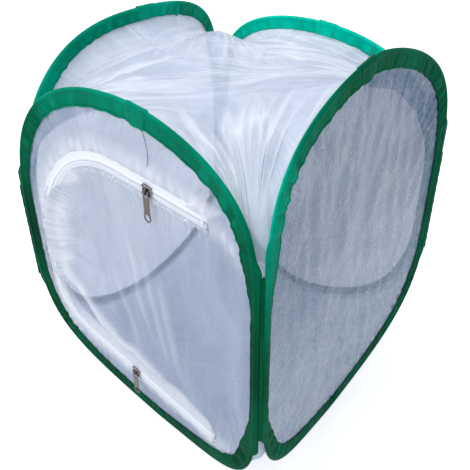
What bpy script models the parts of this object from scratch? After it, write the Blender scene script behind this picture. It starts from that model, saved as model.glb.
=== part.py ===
# Pop-up mesh insect cage: four sprung hoops in cloth binding, hinged at four
# corner seams, with mesh walls, one clear window and a zipped mesh door.
import math

import bmesh
import bpy
from mathutils import Vector

side = 0.300
skew = math.radians(6.0)
seamHeight = 0.178
axisOffset = side / 2
hoopClearance = 0.004
halfWidth = axisOffset - hoopClearance

# Each hoop: height, inward lean of its crown and foot, roundness above and
# below the seams as (sideways, upright) for its two sides, and where its tape
# laps over itself.
hoops = {
    "front": dict(
        height=0.3378, lean=(0.0160, 0.0228), lap=0.019,
        top=((1.52, 6.3), (2.52, 3.0)), foot=((1.67, 4.8), (1.45, 3.8)),
    ),
    "right": dict(
        height=0.3660, lean=(0.0085, 0.0175), lap=-0.018,
        top=((1.44, 4.8), (1.53, 6.3)), foot=((1.61, 3.3), (1.51, 4.0)),
    ),
    "back": dict(
        height=0.3347, lean=(0.0128, 0.0200), lap=-0.014,
        top=((1.96, 4.3), (2.07, 3.4)), foot=((1.6, 3.8), (1.6, 3.8)),
    ),
    "left": dict(
        height=0.3538, lean=(0.0255, -0.0125), lap=-0.006,
        top=((2.74, 2.2), (1.80, 5.9)), foot=((1.7, 3.6), (1.7, 3.6)),
    ),
}
leanPower = 1.8
panelDepth = 0.011
stationCount = 40

wireRadius = 0.0007
wireDepth = 0.00185
tapeWidth = 0.015
noseHalf = 0.0008
finClearance = 0.0016
finReach = axisOffset - finClearance
finHalf = 0.00045
finBlend = 0.0016
clothHalf = 0.00025
panelStart = 0.0030
panelRim = 0.0155
cordRadius = 0.0013
finGap = 0.0046

# Tape folded over the wire, as (depth inward from the edge, offset from the
# middle). The first eight points are its outside and the others its inside.
bindingSection = [
    (tapeWidth, 0.00115), (0.0034, 0.00115), (0.0016, 0.0016), (0.0, noseHalf),
    (0.0, -noseHalf), (0.0016, -0.0016), (0.0034, -0.00115), (tapeWidth, -0.00115),
    (tapeWidth, -0.00055), (0.0032, -0.00055), (0.00175, -0.0011), (0.0007, -0.0005),
    (0.0007, 0.0005), (0.00175, 0.0011), (0.0032, 0.00055), (tapeWidth, 0.00055),
]
lapSection = [
    (0.0154, 0.0019), (0.0036, 0.0019), (0.0015, 0.0024), (-0.0008, 0.0013),
    (-0.0008, -0.0013), (0.0015, -0.0024), (0.0036, -0.0019), (0.0154, -0.0019),
    (0.0154, -0.0014), (0.0034, -0.0014), (0.0016, -0.0019), (-0.0003, -0.0010),
    (-0.0003, 0.0010), (0.0016, 0.0019), (0.0034, 0.0014), (0.0154, 0.0014),
]
lapLength = 0.018
lapMargin = 0.001
lapReach = 0.003
footLength = 0.024
footProbe = 0.010
stationGap = 0.006
bendLength = 0.09
tangentStep = 0.004
coverClearance = 0.003
coverDepth = 0.0148
coverCornerDepth = 0.0038
coverTaper = 0.034
sheetInset = 0.0015
lapInset = 0.0028
coverRowShares = (1.0, 0.94, 0.85, 0.72, 0.58, 0.42, 0.24)
roofSag = 0.004
floorSag = 0.032

# Main folds of the nets: start, end, width share and height share. Places are
# shares of half the side on the roof, and of half the width and the height on
# a wall. Every fold fades at its ends and where the net nears its binding.
foldWidth = 0.012
foldHeight = 0.0042
foldFade = 0.22
rimFadeShare = 0.14
roofFoldShares = (
    ((0.72, 0.86), (-0.42, 0.44), 1.0, 1.0),
    ((0.66, 0.76), (0.00, 0.04), 1.1, 0.8),
    ((0.84, -0.78), (0.30, -0.14), 1.0, 1.1),
    ((-0.80, -0.76), (-0.14, -0.20), 1.2, 0.75),
    ((-0.82, 0.70), (-0.24, 0.24), 1.2, 0.75),
)
wallFoldShares = {
    "left": (((-0.62, 0.80), (0.35, 0.52), 1.8, 0.9), ((-0.55, 0.30), (0.45, 0.42), 1.8, -0.8)),
    "back": (((0.55, 0.82), (-0.40, 0.50), 1.8, 0.9), ((0.50, 0.26), (-0.45, 0.36), 1.8, -0.8)),
    "right": (),
}
panelRowShares = (0.2, 0.45, 0.7)

# Door outline on the front wall, as (sideways, height) corners with radii.
doorPlane = 0.139
bowStart = -0.080
bowEnd = -0.131
bowRise = 0.0064
hingeSide = 0.092
trackTop = ((hingeSide, 0.2745), (-0.120, 0.2860))
trackFoot = ((-0.120, 0.0765), (hingeSide, 0.0530))
trackRadiusTop = 0.104
trackRadiusFoot = 0.045
arcSteps = 12
tapeRelief = 0.0013
clothEdge = 0.0046
coilSection = (0.00055, 0.0024, 0.00125, 0.0021)
zipTapeSection = (0.00055, 0.0078, 0.00055, 0.00105)
sliderAtTop = 0.031
sliderAtFoot = -0.012
zipEndTrim = 0.0012
hingeGap = 0.0008
tapeClearance = 0.0008
hingeMargin = 0.012
flapCentre = (-0.010, 0.165)
sliderHalf = 0.0055
pullPivot = 0.0042
pullLength = 0.027
pullHalf = 0.0039
pullThickness = 0.0008

colours = {
    "tape": (0.0, 0.28, 0.16, 1.0),
    "mesh": (0.72, 0.76, 0.88, 1.0),
    "clear": (0.78, 0.82, 0.88, 1.0),
    "steel": (0.55, 0.56, 0.58, 1.0),
    "zip": (0.86, 0.90, 0.97, 1.0),
    "gunmetal": (0.09, 0.08, 0.08, 1.0),
}

for old in list(bpy.data.objects):
    bpy.data.objects.remove(old, do_unlink=True)
cage = bpy.data.collections.new("insect_cage")
bpy.context.scene.collection.children.link(cage)

sideways = Vector((1.0, 0.0, 0.0))
depthways = Vector((-math.sin(skew), math.cos(skew), 0.0))
up = Vector((0.0, 0.0, 1.0))
frames = {
    "front": (-depthways * axisOffset, sideways),
    "right": (sideways * axisOffset, depthways),
    "back": (depthways * axisOffset, -sideways),
    "left": (-sideways * axisOffset, -depthways),
}


def outwardOf(name):
    return frames[name][1].cross(up)


def place(name, u, o, z):
    centre, along = frames[name]
    return centre + along * u + outwardOf(name) * o + up * z


cornerFrontRight = place("front", axisOffset, 0.0, 0.0)
cornerFrontLeft = place("front", -axisOffset, 0.0, 0.0)
cornerBackRight = place("back", -axisOffset, 0.0, 0.0)
cornerBackLeft = place("back", axisOffset, 0.0, 0.0)
doorHinge = place("front", hingeSide, doorPlane - axisOffset * math.cos(skew), 0.0)


def addSolid(name, points, faces, colour, origin=None):
    start = Vector((0.0, 0.0, 0.0)) if origin is None else Vector(origin)
    mesh = bpy.data.meshes.new(name)
    mesh.from_pydata([tuple(Vector(p) - start) for p in points], [], faces)
    work = bmesh.new()
    work.from_mesh(mesh)
    bmesh.ops.triangulate(work, faces=work.faces)
    bmesh.ops.recalc_face_normals(work, faces=work.faces)
    work.to_mesh(mesh)
    work.free()
    solid = bpy.data.objects.new(name, mesh)
    solid.location = start
    look = bpy.data.materials.new(name)
    look.use_nodes = True
    base = look.node_tree.nodes["Principled BSDF"]
    base.inputs["Base Color"].default_value = colours[colour]
    base.inputs["Roughness"].default_value = 0.45
    look.diffuse_color = colours[colour]
    mesh.materials.append(look)
    cage.objects.link(solid)
    return solid


def loftFaces(rings, size, closed):
    faces = []
    for i in range(rings if closed else rings - 1):
        j = (i + 1) % rings
        for a in range(size):
            b = (a + 1) % size
            faces.append((i * size + a, i * size + b, j * size + b, j * size + a))
    if not closed:
        faces.append(tuple(range(size)))
        faces.append(tuple(range((rings - 1) * size, rings * size)))
    return faces


def addLoft(name, rings, colour, closed=False, origin=None):
    points = [p for ring in rings for p in ring]
    faces = loftFaces(len(rings), len(rings[0]), closed)
    return addSolid(name, points, faces, colour, origin)


# A closed sheet from loops that run inward. With no hole, the last item of
# each side is one point in the middle.
def addSheet(name, outerLoops, innerLoops, colour, middle=None, origin=None):
    size = len(outerLoops[0])
    rows = len(outerLoops)
    points = [p for loop in outerLoops for p in loop]
    points += [p for loop in innerLoops for p in loop]
    half = rows * size
    faces = []
    for i in range(rows - 1):
        for a in range(size):
            b = (a + 1) % size
            quad = (i * size + a, i * size + b, (i + 1) * size + b, (i + 1) * size + a)
            faces.append(quad)
            faces.append(tuple(half + q for q in reversed(quad)))
    for a in range(size):
        b = (a + 1) % size
        faces.append((a, half + a, half + b, b))
        last = (rows - 1) * size
        if middle is None:
            faces.append((last + a, last + b, half + last + b, half + last + a))
        else:
            faces.append((last + a, last + b, 2 * half))
            faces.append((half + last + b, half + last + a, 2 * half + 1))
    if middle is not None:
        points += list(middle)
    return addSolid(name, points, faces, colour, origin)


def hoopPoint(name, angle, mirror):
    spec = hoops[name]
    s = math.sin(angle)
    c = max(math.cos(angle), 0.0)
    sides = spec["top"] if s > 0 else spec["foot"]
    wide, tall = sides[0] if mirror > 0 else sides[1]
    reach = spec["height"] - seamHeight if s > 0 else seamHeight
    u = halfWidth * c ** (2 / wide) * mirror
    z = seamHeight + math.copysign(reach * abs(s) ** (2 / tall), s)
    return Vector((u, z))


def leanOffset(name, u, z):
    crown, foot = hoops[name]["lean"]
    share = z / hoops[name]["height"]
    lean = foot + (crown - foot) * share
    return -lean * (1 - min(abs(u) / halfWidth, 1.0) ** leanPower)


def traceHoop(name):
    steps = 360
    right = [hoopPoint(name, math.pi / 2 - math.pi * i / steps, 1) for i in range(steps)]
    left = [hoopPoint(name, -math.pi / 2 + math.pi * i / steps, -1) for i in range(steps)]
    return right + left


def spreadStations(trace, lap):
    count = len(trace)
    run = [0.0]
    weight = [0.0]
    for i in range(count):
        before = trace[i - 1]
        here = trace[i]
        after = trace[(i + 1) % count]
        length = (after - here).length
        turn = 0.0
        if length > 1e-7 and (here - before).length > 1e-7:
            turn = abs((here - before).angle_signed(after - here))
        run.append(run[-1] + length)
        weight.append(weight[-1] + length + bendLength * min(turn, 0.2))
    picks = []
    for k in range(stationCount):
        want = weight[-1] * (k + 0.5) / stationCount
        i = next(j for j in range(1, len(weight)) if weight[j] >= want)
        share = (want - weight[i - 1]) / (weight[i] - weight[i - 1])
        picks.append(run[i - 1] + share * (run[i] - run[i - 1]))
    middle = next(
        run[i] for i in range(count)
        if trace[i].y > seamHeight and (trace[i].x - lap) * (trace[(i + 1) % count].x - lap) <= 0
    )
    foot = next(run[i] for i in range(count) if trace[i].y < footProbe and trace[i].x <= 0)
    for ends in (
        [middle - lapLength / 2 - lapMargin, middle + lapLength / 2 + lapMargin],
        [foot - footLength / 2, foot + footLength / 2],
    ):
        picks = [p for p in picks if min(abs(p - e) for e in ends) > stationGap and not ends[0] < p < ends[1]]
        picks = sorted(picks + [e % run[-1] for e in ends])
    return picks, run, middle, foot


def pointAlong(trace, run, place):
    place = place % run[-1]
    i = next(j for j in range(1, len(run)) if run[j] >= place)
    share = (place - run[i - 1]) / max(run[i] - run[i - 1], 1e-9)
    a = trace[i - 1]
    b = trace[i % len(trace)]
    return a + (b - a) * share


# A station is a point on the hoop's outer edge with its inward direction in
# the wall's surface and the wall's outward normal.
def stationAt(name, trace, run, place_):
    flat = pointAlong(trace, run, place_)
    ahead = pointAlong(trace, run, place_ + tangentStep)
    behind = pointAlong(trace, run, place_ - tangentStep)
    tangent2 = (ahead - behind).normalized()
    inward2 = Vector((tangent2.y, -tangent2.x))
    if inward2.dot(Vector((0.0, seamHeight)) - flat) < 0:
        inward2 = -inward2
    here = place(name, flat.x, leanOffset(name, flat.x, flat.y), flat.y)
    next_ = place(name, ahead.x, leanOffset(name, ahead.x, ahead.y), ahead.y)
    last = place(name, behind.x, leanOffset(name, behind.x, behind.y), behind.y)
    tangent = (next_ - last).normalized()
    reach = (flat - Vector((0.0, seamHeight))).length
    slope = -2 * (leanOffset(name, flat.x, flat.y) + panelDepth) / reach
    along = frames[name][1]
    inward = (along * inward2.x + up * inward2.y + outwardOf(name) * slope).normalized()
    inward = (inward - tangent * inward.dot(tangent)).normalized()
    normal = tangent.cross(inward).normalized()
    if normal.dot(outwardOf(name)) < 0:
        normal = -normal
    return dict(flat=flat, point=here, inward=inward, normal=normal, side2=inward2)


def sectionRing(station, section, nose=False):
    ring = []
    gap = finReach - abs(station["flat"].x)
    share = min(max(1 - (gap - finGap) / finBlend, 0.0), 1.0)
    for k, (depth, offset) in enumerate(section):
        if nose and k in (3, 4) and share > 0:
            depth = -share * gap / max(abs(station["side2"].x), 0.5)
            offset = math.copysign(noseHalf + (finHalf - noseHalf) * share, offset)
        p = station["point"] + station["inward"] * depth + station["normal"] * offset
        if nose and k in (3, 4) and (station["foot"] or p.z < 0.0):
            p.z = 0.0
        ring.append(p)
    return ring


stations = {}
traces = {}
for name in hoops:
    trace = traceHoop(name)
    traces[name] = trace
    picks, run, lapMiddle, foot = spreadStations(trace, hoops[name]["lap"])
    stations[name] = [stationAt(name, trace, run, p) for p in picks]
    for station, p in zip(stations[name], picks):
        nearLap = abs(math.remainder(p - lapMiddle, run[-1])) < lapLength / 2 + lapReach
        station["inset"] = lapInset if nearLap else sheetInset
        station["foot"] = abs(p - foot) < footLength / 2 + lapMargin
    lapEnds = [lapMiddle - lapLength / 2, lapMiddle + lapLength / 2]
    origins = {"right": cornerFrontRight, "left": cornerFrontLeft, "back": cornerBackRight}
    origin = origins.get(name)
    rings = [sectionRing(s, bindingSection, True) for s in stations[name]]
    addLoft("binding_" + name, rings, "tape", True, origin)
    wire = [
        (wireDepth + wireRadius * math.cos(math.tau * k / 6), wireRadius * math.sin(math.tau * k / 6))
        for k in range(6)
    ]
    addLoft("hoop_wire_" + name, [sectionRing(s, wire) for s in stations[name]], "steel", True, origin)
    lapStations = [stationAt(name, trace, run, p) for p in lapEnds]
    chord = [stationAt(name, trace, run, p) for p in (lapEnds[0] - lapMargin, lapEnds[1] + lapMargin)]
    for end, share in ((lapStations[0], 0.05), (lapStations[1], 0.95)):
        for key in ("point", "inward", "normal"):
            end[key] = chord[0][key] * (1 - share) + chord[1][key] * share
    addLoft("tape_lap_" + name, [sectionRing(s, lapSection) for s in lapStations], "tape", False, origin)


def panelLoops(name, side_):
    loops = []
    for depth in (panelStart, panelRim):
        loops.append([s["point"] + s["inward"] * depth + s["normal"] * side_ * clothHalf
                      for s in stations[name]])
    return loops


def panelMiddle(name, side_):
    height = hoops[name]["height"] / 2
    return place(name, 0.0, -panelDepth + side_ * clothHalf, height)


def ease(value, low, high):
    share = min(max((value - low) / (high - low), 0.0), 1.0)
    return share * share * (3 - 2 * share)


# Height of the net's folds at a place, from the table of their shares.
def foldRise(x, y, folds, wide, tall):
    total = 0.0
    for (startX, startY), (endX, endY), widthShare, heightShare in folds:
        dx = (endX - startX) * wide
        dy = (endY - startY) * tall
        length = math.hypot(dx, dy)
        ahead = ((x - startX * wide) * dx + (y - startY * tall) * dy) / length ** 2
        beside = ((x - startX * wide) * dy - (y - startY * tall) * dx) / length
        ends = ease(ahead, -foldFade, foldFade) * (1 - ease(ahead, 1 - foldFade, 1 + foldFade))
        total += heightShare * foldHeight * ends * math.exp(-(beside / (widthShare * foldWidth)) ** 2)
    return total


def fillPanel(name, side_):
    loops = panelLoops(name, side_)
    middle = panelMiddle(name, side_)
    face = outwardOf(name)
    level = (middle - face * side_ * clothHalf).dot(face)
    centre, along = frames[name]
    tall = hoops[name]["height"]

    def folded(q, share):
        rise = foldRise((q - centre).dot(along), q.z, wallFoldShares[name], halfWidth, tall)
        return face * rise * ease(share, 0.0, panelRowShares[1])

    for share in panelRowShares:
        loop = []
        for p in loops[1]:
            q = p + (middle - p) * share
            rise = (p - face * side_ * clothHalf).dot(face) - level
            q += face * (level + rise * (1 - share) ** 2 + side_ * clothHalf - q.dot(face))
            loop.append(q + folded(q, share))
        loops.append(loop)
    return loops, middle + folded(middle, 1.0)


for name, node, colour in (
    ("right", "clear_window", "clear"), ("back", "back_mesh", "mesh"), ("left", "left_mesh", "mesh")
):
    outerLoops, outerMiddle = fillPanel(name, 1)
    innerLoops, innerMiddle = fillPanel(name, -1)
    origin = {"right": cornerFrontRight, "left": cornerFrontLeft, "back": cornerBackRight}[name]
    addSheet(node, outerLoops, innerLoops, colour, (outerMiddle, innerMiddle), origin)


# The zip runs along the top of the door, round its free side and back along
# its foot. Points are (sideways, height), starting at the upper hinge end.
def fillet(before, corner, after, radius):
    before, corner, after = Vector(before), Vector(corner), Vector(after)
    a = (before - corner).normalized()
    b = (after - corner).normalized()
    half = a.angle(b) / 2
    reach = radius / math.tan(half)
    centre = corner + (a + b).normalized() * radius / math.sin(half)
    first = corner + a * reach - centre
    last = corner + b * reach - centre
    sweep = first.angle_signed(last)
    points = []
    for i in range(arcSteps + 1):
        turn = -sweep * i / arcSteps
        c, s = math.cos(turn), math.sin(turn)
        points.append(centre + Vector((first.x * c - first.y * s, first.x * s + first.y * c)))
    return points


track = [Vector(trackTop[0])]
track += fillet(trackTop[0], trackTop[1], trackFoot[0], trackRadiusTop)
track += fillet(trackTop[1], trackFoot[0], trackFoot[1], trackRadiusFoot)
track += [Vector(trackFoot[1])]


def trackNormals():
    normals = []
    for i, p in enumerate(track):
        before = track[max(i - 1, 0)]
        after = track[min(i + 1, len(track) - 1)]
        run_ = ((p - before).normalized() + (after - p).normalized()).normalized()
        normals.append(Vector((run_.y, -run_.x)))
    return normals


normals = trackNormals()
if normals[0].y < 0:
    normals = [-n for n in normals]
normals[0] = Vector((0.0, 1.0))
normals[-1] = Vector((0.0, -1.0))
doorLevel = doorPlane - axisOffset * math.cos(skew)


# The wall is flat by the hinge and bows out to meet the hoop on the free side.
def onDoor(flat, n=0.0):
    share = max(bowStart - flat.x, 0.0) / (bowStart - bowEnd)
    return place("front", flat.x, doorLevel + bowRise * share ** 2 + n, flat.y)


def zipBand(name, section, sign, trim, colour, origin=None):
    inner, outer, low, high = section
    rings = []
    for i, (p, n) in enumerate(zip(track, normals)):
        shift = Vector((-trim, 0.0)) if i in (0, len(track) - 1) else Vector((0.0, 0.0))
        near = p + shift + n * inner * sign
        far = p + shift + n * outer * sign
        rings.append([onDoor(near, low), onDoor(far, low), onDoor(far, high), onDoor(near, high)])
    return addLoft(name, rings, colour, False, origin)


zipBand("zip_tape_outer", zipTapeSection, 1, 0.0, "zip")
zipBand("zip_coil_outer", coilSection, 1, zipEndTrim, "zip")
zipBand("zip_tape_inner", zipTapeSection, -1, zipEndTrim, "zip", doorHinge)
zipBand("zip_coil_inner", coilSection, -1, zipEndTrim, "zip", doorHinge)

flapEdge = [p - n * clothEdge for p, n in zip(track, normals)]
flapEdge = [Vector((min(p.x, hingeSide - hingeGap), p.y)) for p in flapEdge]
for k in (2, 4, 6, 8):
    share = k / 10
    flapEdge.append(flapEdge[len(track) - 1] * (1 - share) + flapEdge[0] * share)
flapMiddle = Vector(flapCentre)


def flapLoop(share, bulge, side_):
    return [onDoor(p + (flapMiddle - p) * share, bulge + side_ * clothHalf) for p in flapEdge]


addSheet(
    "door_flap",
    [flapLoop(share, 0.0, 1) for share in (0.0, 0.07, 0.24)],
    [flapLoop(share, 0.0, -1) for share in (0.0, 0.07, 0.24)],
    "mesh",
    (onDoor(flapMiddle, clothHalf), onDoor(flapMiddle, -clothHalf)),
    doorHinge,
)

# The front wall round the door. Each hoop station meets the outline in the
# direction of the door's middle.
def offsetOutline(reach, beyond):
    loop = [p + n * reach for p, n in zip(track, normals)]
    loop[0].x = hingeSide + beyond
    loop[-1].x = hingeSide + beyond
    loop.append(loop[-1] * 0.5 + loop[0] * 0.5)
    return loop


outline = offsetOutline(clothEdge, 0.0)
outlineWide = offsetOutline(zipTapeSection[1] + tapeClearance, hingeMargin)


def meetOutline(target, outline):
    start = flapMiddle
    ray = target - start
    best = None
    for i in range(len(outline)):
        a = outline[i]
        b = outline[(i + 1) % len(outline)]
        edge = b - a
        cross = ray.x * edge.y - ray.y * edge.x
        if abs(cross) < 1e-12:
            continue
        t = ((a.x - start.x) * edge.y - (a.y - start.y) * edge.x) / cross
        s = ((a.x - start.x) * ray.y - (a.y - start.y) * ray.x) / cross
        if t > 0 and -1e-6 <= s <= 1 + 1e-6 and (best is None or t < best):
            best = t
    return start + ray * best


def angleOf(flat):
    return math.atan2(flat.y - flapMiddle.y, flat.x - flapMiddle.x)


def ringLoops(side_):
    rim = panelLoops("front", side_)
    spokes = [(angleOf(s["flat"]), s, rim[0][k], rim[1][k]) for k, s in enumerate(stations["front"])]
    for p in (outline[0], outline[-2]):
        gaps = [abs(math.remainder(angleOf(p) - spoke[0], math.tau)) for spoke in spokes]
        k = gaps.index(min(gaps))
        spokes[k] = spokes[k][:1] + (dict(spokes[k][1], outline=p),) + spokes[k][2:]
    rows = [[], [], [], [], []]
    for _, station, first, second in spokes:
        flat = station.get("outline")
        if flat is None:
            flat = meetOutline(station["flat"], outline)
        last = onDoor(flat, side_ * clothHalf - tapeRelief * 0.3)
        beside = onDoor(meetOutline(station["flat"], outlineWide), side_ * clothHalf - tapeRelief)
        face = outwardOf("front")
        level = beside.dot(face)
        rise = second.dot(face) - level
        middle = second + (beside - second) * 0.5
        middle += face * (level + rise * 0.3 - middle.dot(face))
        for row, p in zip(rows, (first, second, middle, beside, last)):
            row.append(p)
    return rows


addSheet("front_mesh", ringLoops(1), ringLoops(-1), "mesh")


# Sliders: a cap over both coils, a web between them and a plate behind.
capHalf = 0.0042
capInner = 0.0036
capLow = 0.00135
capUnder = 0.0024
capTop = 0.0034
capShoulder = 0.0029
capFlatHalf = 0.0034
webHalf = 0.00025
plateHalf = 0.0040
plateTop = -0.0006
plateLow = -0.0013
sliderSection = [
    (-capHalf, capLow), (-capHalf, capShoulder), (-capFlatHalf, capTop), (capFlatHalf, capTop),
    (capHalf, capShoulder),
    (capHalf, capLow), (capInner, capLow), (capInner, capUnder), (webHalf, capUnder),
    (webHalf, plateTop), (plateHalf, plateTop), (plateHalf, plateLow), (-plateHalf, plateLow),
    (-plateHalf, plateTop), (-webHalf, plateTop), (-webHalf, capUnder), (-capInner, capUnder),
    (-capInner, capLow),
]
bailHalf = 0.0022
bailInner = 0.0013
bailFlatHalf = 0.0016
bailLow = 0.0030
bailUnder = 0.0051
bailShoulder = 0.0055
bailTop = 0.0060
bailLong = 0.0010
sliderTaper = [(-1.0, 0.86), (-0.55, 1.0), (0.45, 1.0), (1.0, 0.93)]


def boxPoints(low, high):
    return [(x, y, z) for x in (low[0], high[0]) for y in (low[1], high[1]) for z in (low[2], high[2])]


def joinBoxes(points, faces, low, high):
    start = len(points)
    points += boxPoints(low, high)
    for quad in ((0, 1, 3, 2), (4, 6, 7, 5), (0, 4, 5, 1), (2, 3, 7, 6), (0, 2, 6, 4), (1, 5, 7, 3)):
        faces.append(tuple(start + q for q in quad))


def runFrame(first, last, at):
    first, last = Vector(first), Vector(last)
    if first.x > last.x:
        first, last = last, first
    run_ = (last - first).normalized()
    middle = first + run_ * (at - first.x) / run_.x
    along = frames["front"][1] * run_.x + up * run_.y
    return onDoor(middle), along, outwardOf("front"), (outwardOf("front").cross(along)).normalized()


def addSlider(node, run_, at):
    middle, along, face, across = runFrame(*run_, at)
    rings = []
    for place_, taper in sliderTaper:
        rings.append([
            middle + along * place_ * sliderHalf
            + across * (v * taper if abs(v) > capInner else v) + face * n
            for v, n in sliderSection
        ])
    body = addLoft(node, rings, "gunmetal", False, middle)
    loopRing = []
    for v, n in ((-bailHalf, bailLow), (-bailHalf, bailShoulder), (-bailFlatHalf, bailTop),
                 (bailFlatHalf, bailTop), (bailHalf, bailShoulder), (bailHalf, bailLow),
                 (bailInner, bailLow), (bailInner, bailUnder), (-bailInner, bailUnder),
                 (-bailInner, bailLow)):
        loopRing.append(across * v + face * n)
    points = [p + along * a for a in (-bailLong, bailLong) for p in loopRing]
    bail = addSolid(node + "_bail", points, loftFaces(2, len(loopRing), False), "gunmetal")
    bail.location = middle
    join = body.modifiers.new("bail", "BOOLEAN")
    join.operation = "UNION"
    join.solver = "EXACT"
    join.object = bail
    bail.hide_render = True
    bail.display_type = "WIRE"
    return middle, face


# A pull tab hangs from the bail by the bar above its slot, with a round hole
# near its lower end.
def addPull(node, middle, face):
    pivot = middle + face * pullPivot
    along = frames["front"][1]
    barHalf = 0.0004
    slotLow = -0.0062
    slotHalf = 0.0016
    slotCorner = 0.0008
    holeRadius = 0.0023
    holeAt = -pullLength + 0.0045
    headHalf = 0.0028
    neckHalf = 0.0032
    neckTop = -0.0020
    neckFoot = -0.0085
    cutReach = 0.002
    outerEdge = [(-headHalf, barHalf), (headHalf, barHalf), (neckHalf, neckTop), (neckHalf, neckFoot)]
    outerEdge += [
        (pullHalf * math.cos(a), holeAt + pullHalf * math.sin(a))
        for a in [math.radians(d) for d in range(20, -201, -20)]
    ]
    outerEdge += [(-neckHalf, neckFoot), (-neckHalf, neckTop)]
    points = []
    for n in (-pullThickness / 2, pullThickness / 2):
        points += [pivot + along * x + up * z + face * n for x, z in outerEdge]
    tab = addSolid(node, points, loftFaces(2, len(outerEdge), False), "gunmetal", pivot)
    cutPoints = []
    cutFaces = []
    slot = [(-slotHalf, -barHalf), (slotHalf, -barHalf), (slotHalf, slotLow + slotCorner),
            (slotHalf - slotCorner, slotLow), (slotCorner - slotHalf, slotLow),
            (-slotHalf, slotLow + slotCorner)]
    hole = [(holeRadius * math.cos(math.tau * k / 14), holeAt + holeRadius * math.sin(math.tau * k / 14))
            for k in range(14)]
    for outline_ in (slot, hole):
        start = len(cutPoints)
        for n in (-cutReach, cutReach):
            cutPoints += [along * x + up * z + face * n for x, z in outline_]
        for f in loftFaces(2, len(outline_), False):
            cutFaces.append(tuple(start + q for q in f))
    cutter = addSolid(node + "_holes", cutPoints, cutFaces, "gunmetal")
    cutter.location = pivot
    cut = tab.modifiers.new("holes", "BOOLEAN")
    cut.operation = "DIFFERENCE"
    cut.solver = "EXACT"
    cut.object = cutter
    cutter.hide_render = True
    cutter.display_type = "WIRE"


stopInset = 0.0035
stopHalf = 0.0012
stopWideHalf = 0.0032
stopLow = 0.0024
stopHigh = 0.0030
for node, run_, at in (("upper", trackTop, sliderAtTop), ("lower", trackFoot, sliderAtFoot)):
    middle, face = addSlider("slider_" + node, run_, at)
    addPull("pull_" + node, middle, face)
    stopAt, along, face, across = runFrame(*run_, hingeSide - stopInset)
    corners = [(x, v, n) for n in (stopLow, stopHigh) for x, v in
               ((-stopHalf, -stopWideHalf), (stopHalf, -stopWideHalf),
                (stopHalf, stopWideHalf), (-stopHalf, stopWideHalf))]
    points = [stopAt + along * x + across * v + face * n for x, v, n in corners]
    addSolid("zip_stop_" + node, points, loftFaces(2, 4, False), "gunmetal")

# Corner seams, each as long as its two hoops stay within reach of it.
def seamSpan(name, mirror):
    near = [p.y for p in traces[name] if p.x * mirror > finReach - finGap]
    return min(near), max(near)


seamEnds = {}
for node, corner, origin, ends in (
    ("front_right", cornerFrontRight, None, (("front", 1), ("right", -1))),
    ("front_left", cornerFrontLeft, None, (("front", -1), ("left", 1))),
    ("back_right", cornerBackRight, cornerFrontRight, (("back", -1), ("right", 1))),
    ("back_left", cornerBackLeft, cornerFrontLeft, (("back", 1), ("left", -1))),
):
    spans = [seamSpan(name, mirror) for name, mirror in ends]
    span = (max(low for low, _ in spans), min(high for _, high in spans))
    for end in ends:
        seamEnds[end] = span
    rings = []
    for z in span:
        rings.append([
            corner + Vector((cordRadius * math.cos(turn), cordRadius * math.sin(turn), z))
            for turn in (math.tau * k / 8 for k in range(8))
        ])
    addLoft("seam_cord_" + node, rings, "tape", False, origin)

# Roof and floor meshes reach down to where the hoops meet at each corner. Each
# inner loop takes the rim's height, evened out the more the nearer the middle.
# The covers are sewn in at the tape's inner edge, and run out to the corners.
def coverLoop(above):
    loop = []
    for name in ("front", "right", "back", "left"):
        for s in sorted(stations[name], key=lambda s: s["flat"].x):
            low, high = seamEnds[(name, 1 if s["flat"].x > 0 else -1)]
            past = s["flat"].y - high if above else low - s["flat"].y
            if past > coverClearance:
                share = ease(past, coverClearance, coverTaper)
                depth = coverCornerDepth + (coverDepth - coverCornerDepth) * share
                loop.append(s["point"] + s["inward"] * depth - s["normal"] * s["inset"])
    return loop


def addCover(node, above, sag, folds):
    rim = coverLoop(above)
    turns = [math.atan2(p.y, p.x) for p in rim]
    gaps = [abs(math.remainder(turns[(k + 1) % len(rim)] - turns[k - 1], math.tau)) for k in range(len(rim))]

    def evened(share, turn):
        total = 0.0
        weight = 0.0
        for p, t, gap in zip(rim, turns, gaps):
            w = gap * (1 - share ** 2) / (1 - 2 * share * math.cos(turn - t) + share ** 2)
            total += w * p.z
            weight += w
        return total / weight - sag * (1 - share ** 2)

    def placed(x, y, share, turn):
        rise = foldRise(x, y, folds, axisOffset, axisOffset) * ease(1 - share, 0.0, rimFadeShare)
        return Vector((x, y, evened(share, turn) + rise))

    middle = placed(0.0, 0.0, 0.0, 0.0)
    outward = up if above else -up
    rows = []
    for share in coverRowShares:
        if share == 1.0:
            rows.append(rim)
        else:
            rows.append([placed(p.x * share, p.y * share, share, t) for p, t in zip(rim, turns)])
    size = len(rim)
    outerRows = []
    innerRows = []
    for i, row in enumerate(rows):
        outerRow = []
        innerRow = []
        for k, p in enumerate(row):
            ahead = row[(k + 1) % size] - row[k - 1]
            inner = rows[i + 1][k] if i + 1 < len(rows) else middle
            normal = ahead.cross(inner - p).normalized()
            if normal.dot(outward) < 0:
                normal = -normal
            outerRow.append(p + normal * clothHalf)
            innerRow.append(p - normal * clothHalf)
        outerRows.append(outerRow)
        innerRows.append(innerRow)
    ends = (middle + outward * clothHalf, middle - outward * clothHalf)
    addSheet(node, outerRows, innerRows, "mesh", ends)


addCover("top_mesh", True, roofSag, roofFoldShares)
addCover("bottom_mesh", False, floorSag, ())
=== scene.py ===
import math

import bmesh
import bpy
import numpy as np
from mathutils import Matrix, Vector


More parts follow.
